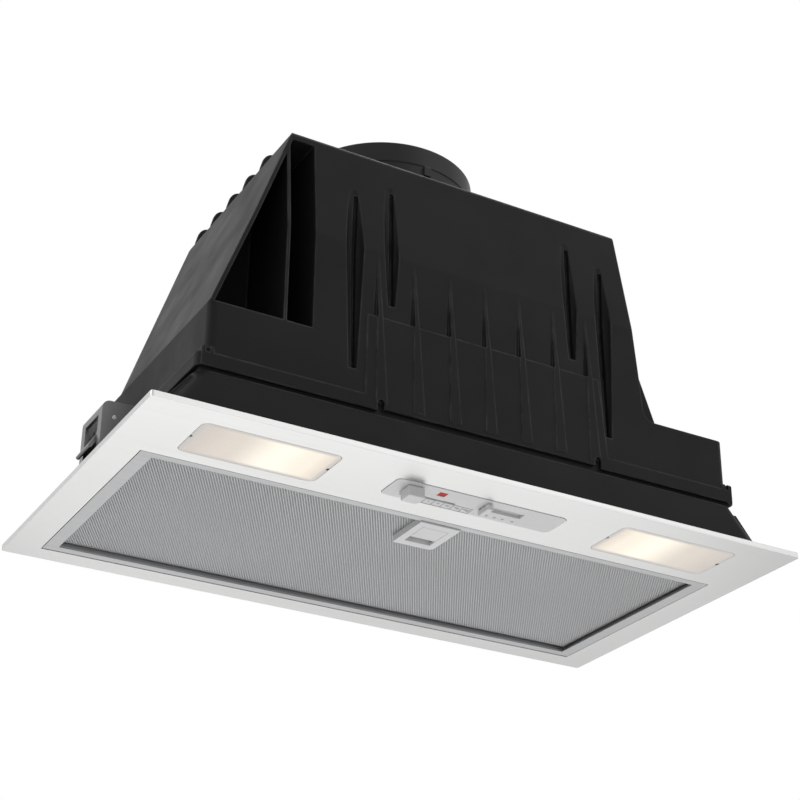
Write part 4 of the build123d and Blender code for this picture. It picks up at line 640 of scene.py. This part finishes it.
def coil_tree(material):
    """A close-wound torsion spring along Y with one straight leg."""
    t = Tree("torsion_spring")
    t.input("Coil Radius", "Float", 3.0 * MM)
    t.input("Wire Radius", "Float", 0.4 * MM)
    t.input("Coil Length", "Float", 8 * MM)
    t.input("Turns", "Float", 6.0)
    t.input("Middle", "Vector", (0, 0, 0))
    t.input("Leg Start", "Vector", (0, 0, 0))
    t.input("Leg End", "Vector", (0, 0, 0.01))
    given = t.given
    spiral = t.add(
        "GeometryNodeCurveSpiral", Resolution=POINTS_PER_TURN, Rotations=given["Turns"],
        Start_Radius=given["Coil Radius"], End_Radius=given["Coil Radius"], Height=given["Coil Length"],
    )
    centred = t.moved(spiral.outputs[0], t.vector(z=t.maths("MULTIPLY", given["Coil Length"], -0.5)))
    laid = t.add("GeometryNodeTransform", Geometry=centred, Rotation=(math.pi / 2, 0, 0))
    coil_line = t.moved(laid.outputs[0], given["Middle"])
    leg_line = t.add("GeometryNodeCurvePrimitiveLine", Start=given["Leg Start"], End=given["Leg End"])
    lines = t.group.nodes.new("GeometryNodeJoinGeometry")
    t.join(lines.inputs[0], coil_line, leg_line.outputs[0])
    wire = t.add("GeometryNodeCurvePrimitiveCircle", Resolution=WIRE_SIDES, Radius=given["Wire Radius"])
    body = t.add(
        "GeometryNodeCurveToMesh", Curve=lines.outputs[0], Profile_Curve=wire.outputs[0], Fill_Caps=True,
    )
    t.finish(body.outputs[0], material)
    return t


def baked(name, tree, values, points=()):
    """Runs a tree on the given points and keeps what it makes as a plain mesh."""
    mesh = bpy.data.meshes.new(f"{name}_points")
    mesh.from_pydata([tuple(p) for p in points], [], [])
    piece = bpy.data.objects.new(name, mesh)
    scene.collection.objects.link(piece)
    modifier = piece.modifiers.new("maker", "NODES")
    modifier.node_group = tree.group
    for key, value in values.items():
        modifier[tree.keys[key]] = value
    ready = piece.evaluated_get(bpy.context.evaluated_depsgraph_get())
    made = bpy.data.meshes.new_from_object(ready)
    piece.modifiers.remove(modifier)
    made.name = name
    piece.data = made
    work = bmesh.new()
    work.from_mesh(made)
    bmesh.ops.recalc_face_normals(work, faces=work.faces)
    work.to_mesh(made)
    work.free()
    return piece


# ---- perforated sheets of the grease filter -------------------------------------------------

FACE_PITCH = 2.2 * MM
FACE_HOLE_SHARE = 0.60
FACE_PIECES = 3                 # side by side, which keeps the facets of each piece few
BACK_PITCH = 6.6 * MM
BACK_HOLE_SHARE = 0.68
BACK_PIECES = 1
PERFORATION = perforated_tree(FILTER)


def perforated_sheet(node, pitch, hole_share, pieces):
    """Stands for a filter sheet: equal pieces side by side, each cut from one pattern of holes."""
    low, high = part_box(node)
    columns = int((high[0] - low[0] - pitch) / pieces / pitch)
    rows = int((high[1] - low[1] - pitch) / (pitch * ROW_SHARE))
    middle_x = (low[0] + high[0]) / 2
    middle_y = (low[1] + high[1]) / 2
    for count in range(pieces):
        across = middle_x + (count - (pieces - 1) / 2) * columns * pitch - pitch / 4
        sheet = baked(f"{node}_{count + 1}", PERFORATION, {
            "Hole Pitch": pitch,
            "Hole Share": hole_share,
            "Sheet Thickness": high[2] - low[2],
            "Columns": columns,
            "Rows": rows,
            "Middle": (across, middle_y, low[2]),
        })
        if count == 0:
            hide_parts(node)
        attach(sheet, "filter")


perforated_sheet("filter_mesh", FACE_PITCH, FACE_HOLE_SHARE, FACE_PIECES)
perforated_sheet("filter_back", BACK_PITCH, BACK_HOLE_SHARE, BACK_PIECES)

# ---- screws ---------------------------------------------------------------------------------

HEAD_RADIUS = 3.6 * MM
HEAD_HEIGHT = 2.2 * MM
FACET_WELD = 0.01 * MM
SCREWS = screw_tree(SPRING)


def loose_boxes(node):
    """(lowest corner, highest corner) of each separate solid of a CAD node."""
    work = bmesh.new()
    work.from_mesh(NODES[node].data)
    bmesh.ops.remove_doubles(work, verts=work.verts, dist=FACET_WELD)
    left = set(work.verts)
    boxes = []
    while left:
        stack = [left.pop()]
        points = []
        while stack:
            vertex = stack.pop()
            points.append(vertex.co.copy())
            for edge in vertex.link_edges:
                other = edge.other_vert(vertex)
                if other in left:
                    left.remove(other)
                    stack.append(other)
        low = Vector(min(p[i] for p in points) for i in range(3))
        high = Vector(max(p[i] for p in points) for i in range(3))
        boxes.append((low, high))
    work.free()
    return sorted(boxes, key=lambda box: tuple(round(c, 6) for c in box[0]))


def recessed_screws(node, direction):
    """Screws with cross recesses in place of a node's plain ones, which are all alike."""
    way = Vector(direction)         # the way in which the heads face
    seats = []
    for low, high in loose_boxes(node):
        middle = (low + high) / 2
        half = abs((high - low).dot(way)) / 2
        seats.append(middle + way * (half - HEAD_HEIGHT))
        length = 2 * half - HEAD_HEIGHT
    screws = baked(f"{node}_recessed", SCREWS, {
        "Head Radius": HEAD_RADIUS,
        "Head Height": HEAD_HEIGHT,
        "Shank Length": length,
        "Direction": way,
    }, seats)
    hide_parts(node)
    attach(screws, "hood")


recessed_screws("collar_screws", (0, 0, 1))
recessed_screws("housing_screws", (0, 1, 0))
recessed_screws("terminal_screws", (0, -1, 0))
recessed_screws("motor_screws", (1, 0, 0))

# ---- torsion springs of the side clips ------------------------------------------------------

SPRING_WIRE = 0.45 * MM         # the wire's radius
SPRING_TURNS = 7.0
LEG_INSET = 0.6 * MM            # from the box of the plain spring to the middle of the leg's tip
PIVOTS = {joint["child"]: Vector(joint["pos_m"]) for joint in frame["joints"]}
COILS = coil_tree(SPRING)


def clip_spring(side, sign):
    """The wound spring on a clip's pin, with its leg along the pawl."""
    node = f"clip_spring_{side}"
    low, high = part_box(node)
    pin_x, _, pin_z = PIVOTS[f"pawl_{side}"]
    coil_radius = high[2] - pin_z - SPRING_WIRE
    leg_y = high[1] - SPRING_WIRE
    leg_root = Vector((pin_x, leg_y, pin_z))
    tip_x = high[0] if sign > 0 else low[0]
    tip = Vector((tip_x - sign * LEG_INSET, leg_y, low[2] + LEG_INSET))
    along = (tip - leg_root).normalized()
    square_to_leg = Vector((-along[2] * sign, 0, along[0] * sign))
    spring = baked(f"clip_coil_{side}", COILS, {
        "Coil Radius": coil_radius,
        "Wire Radius": SPRING_WIRE,
        "Coil Length": high[1] - low[1] - 2 * SPRING_WIRE,
        "Turns": SPRING_TURNS,
        "Middle": (pin_x, (low[1] + high[1]) / 2, pin_z),
        "Leg Start": leg_root + square_to_leg * coil_radius,
        "Leg End": tip,
    })
    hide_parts(node)
    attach(spring, f"pawl_{side}")


clip_spring("left", -1)
clip_spring("right", 1)
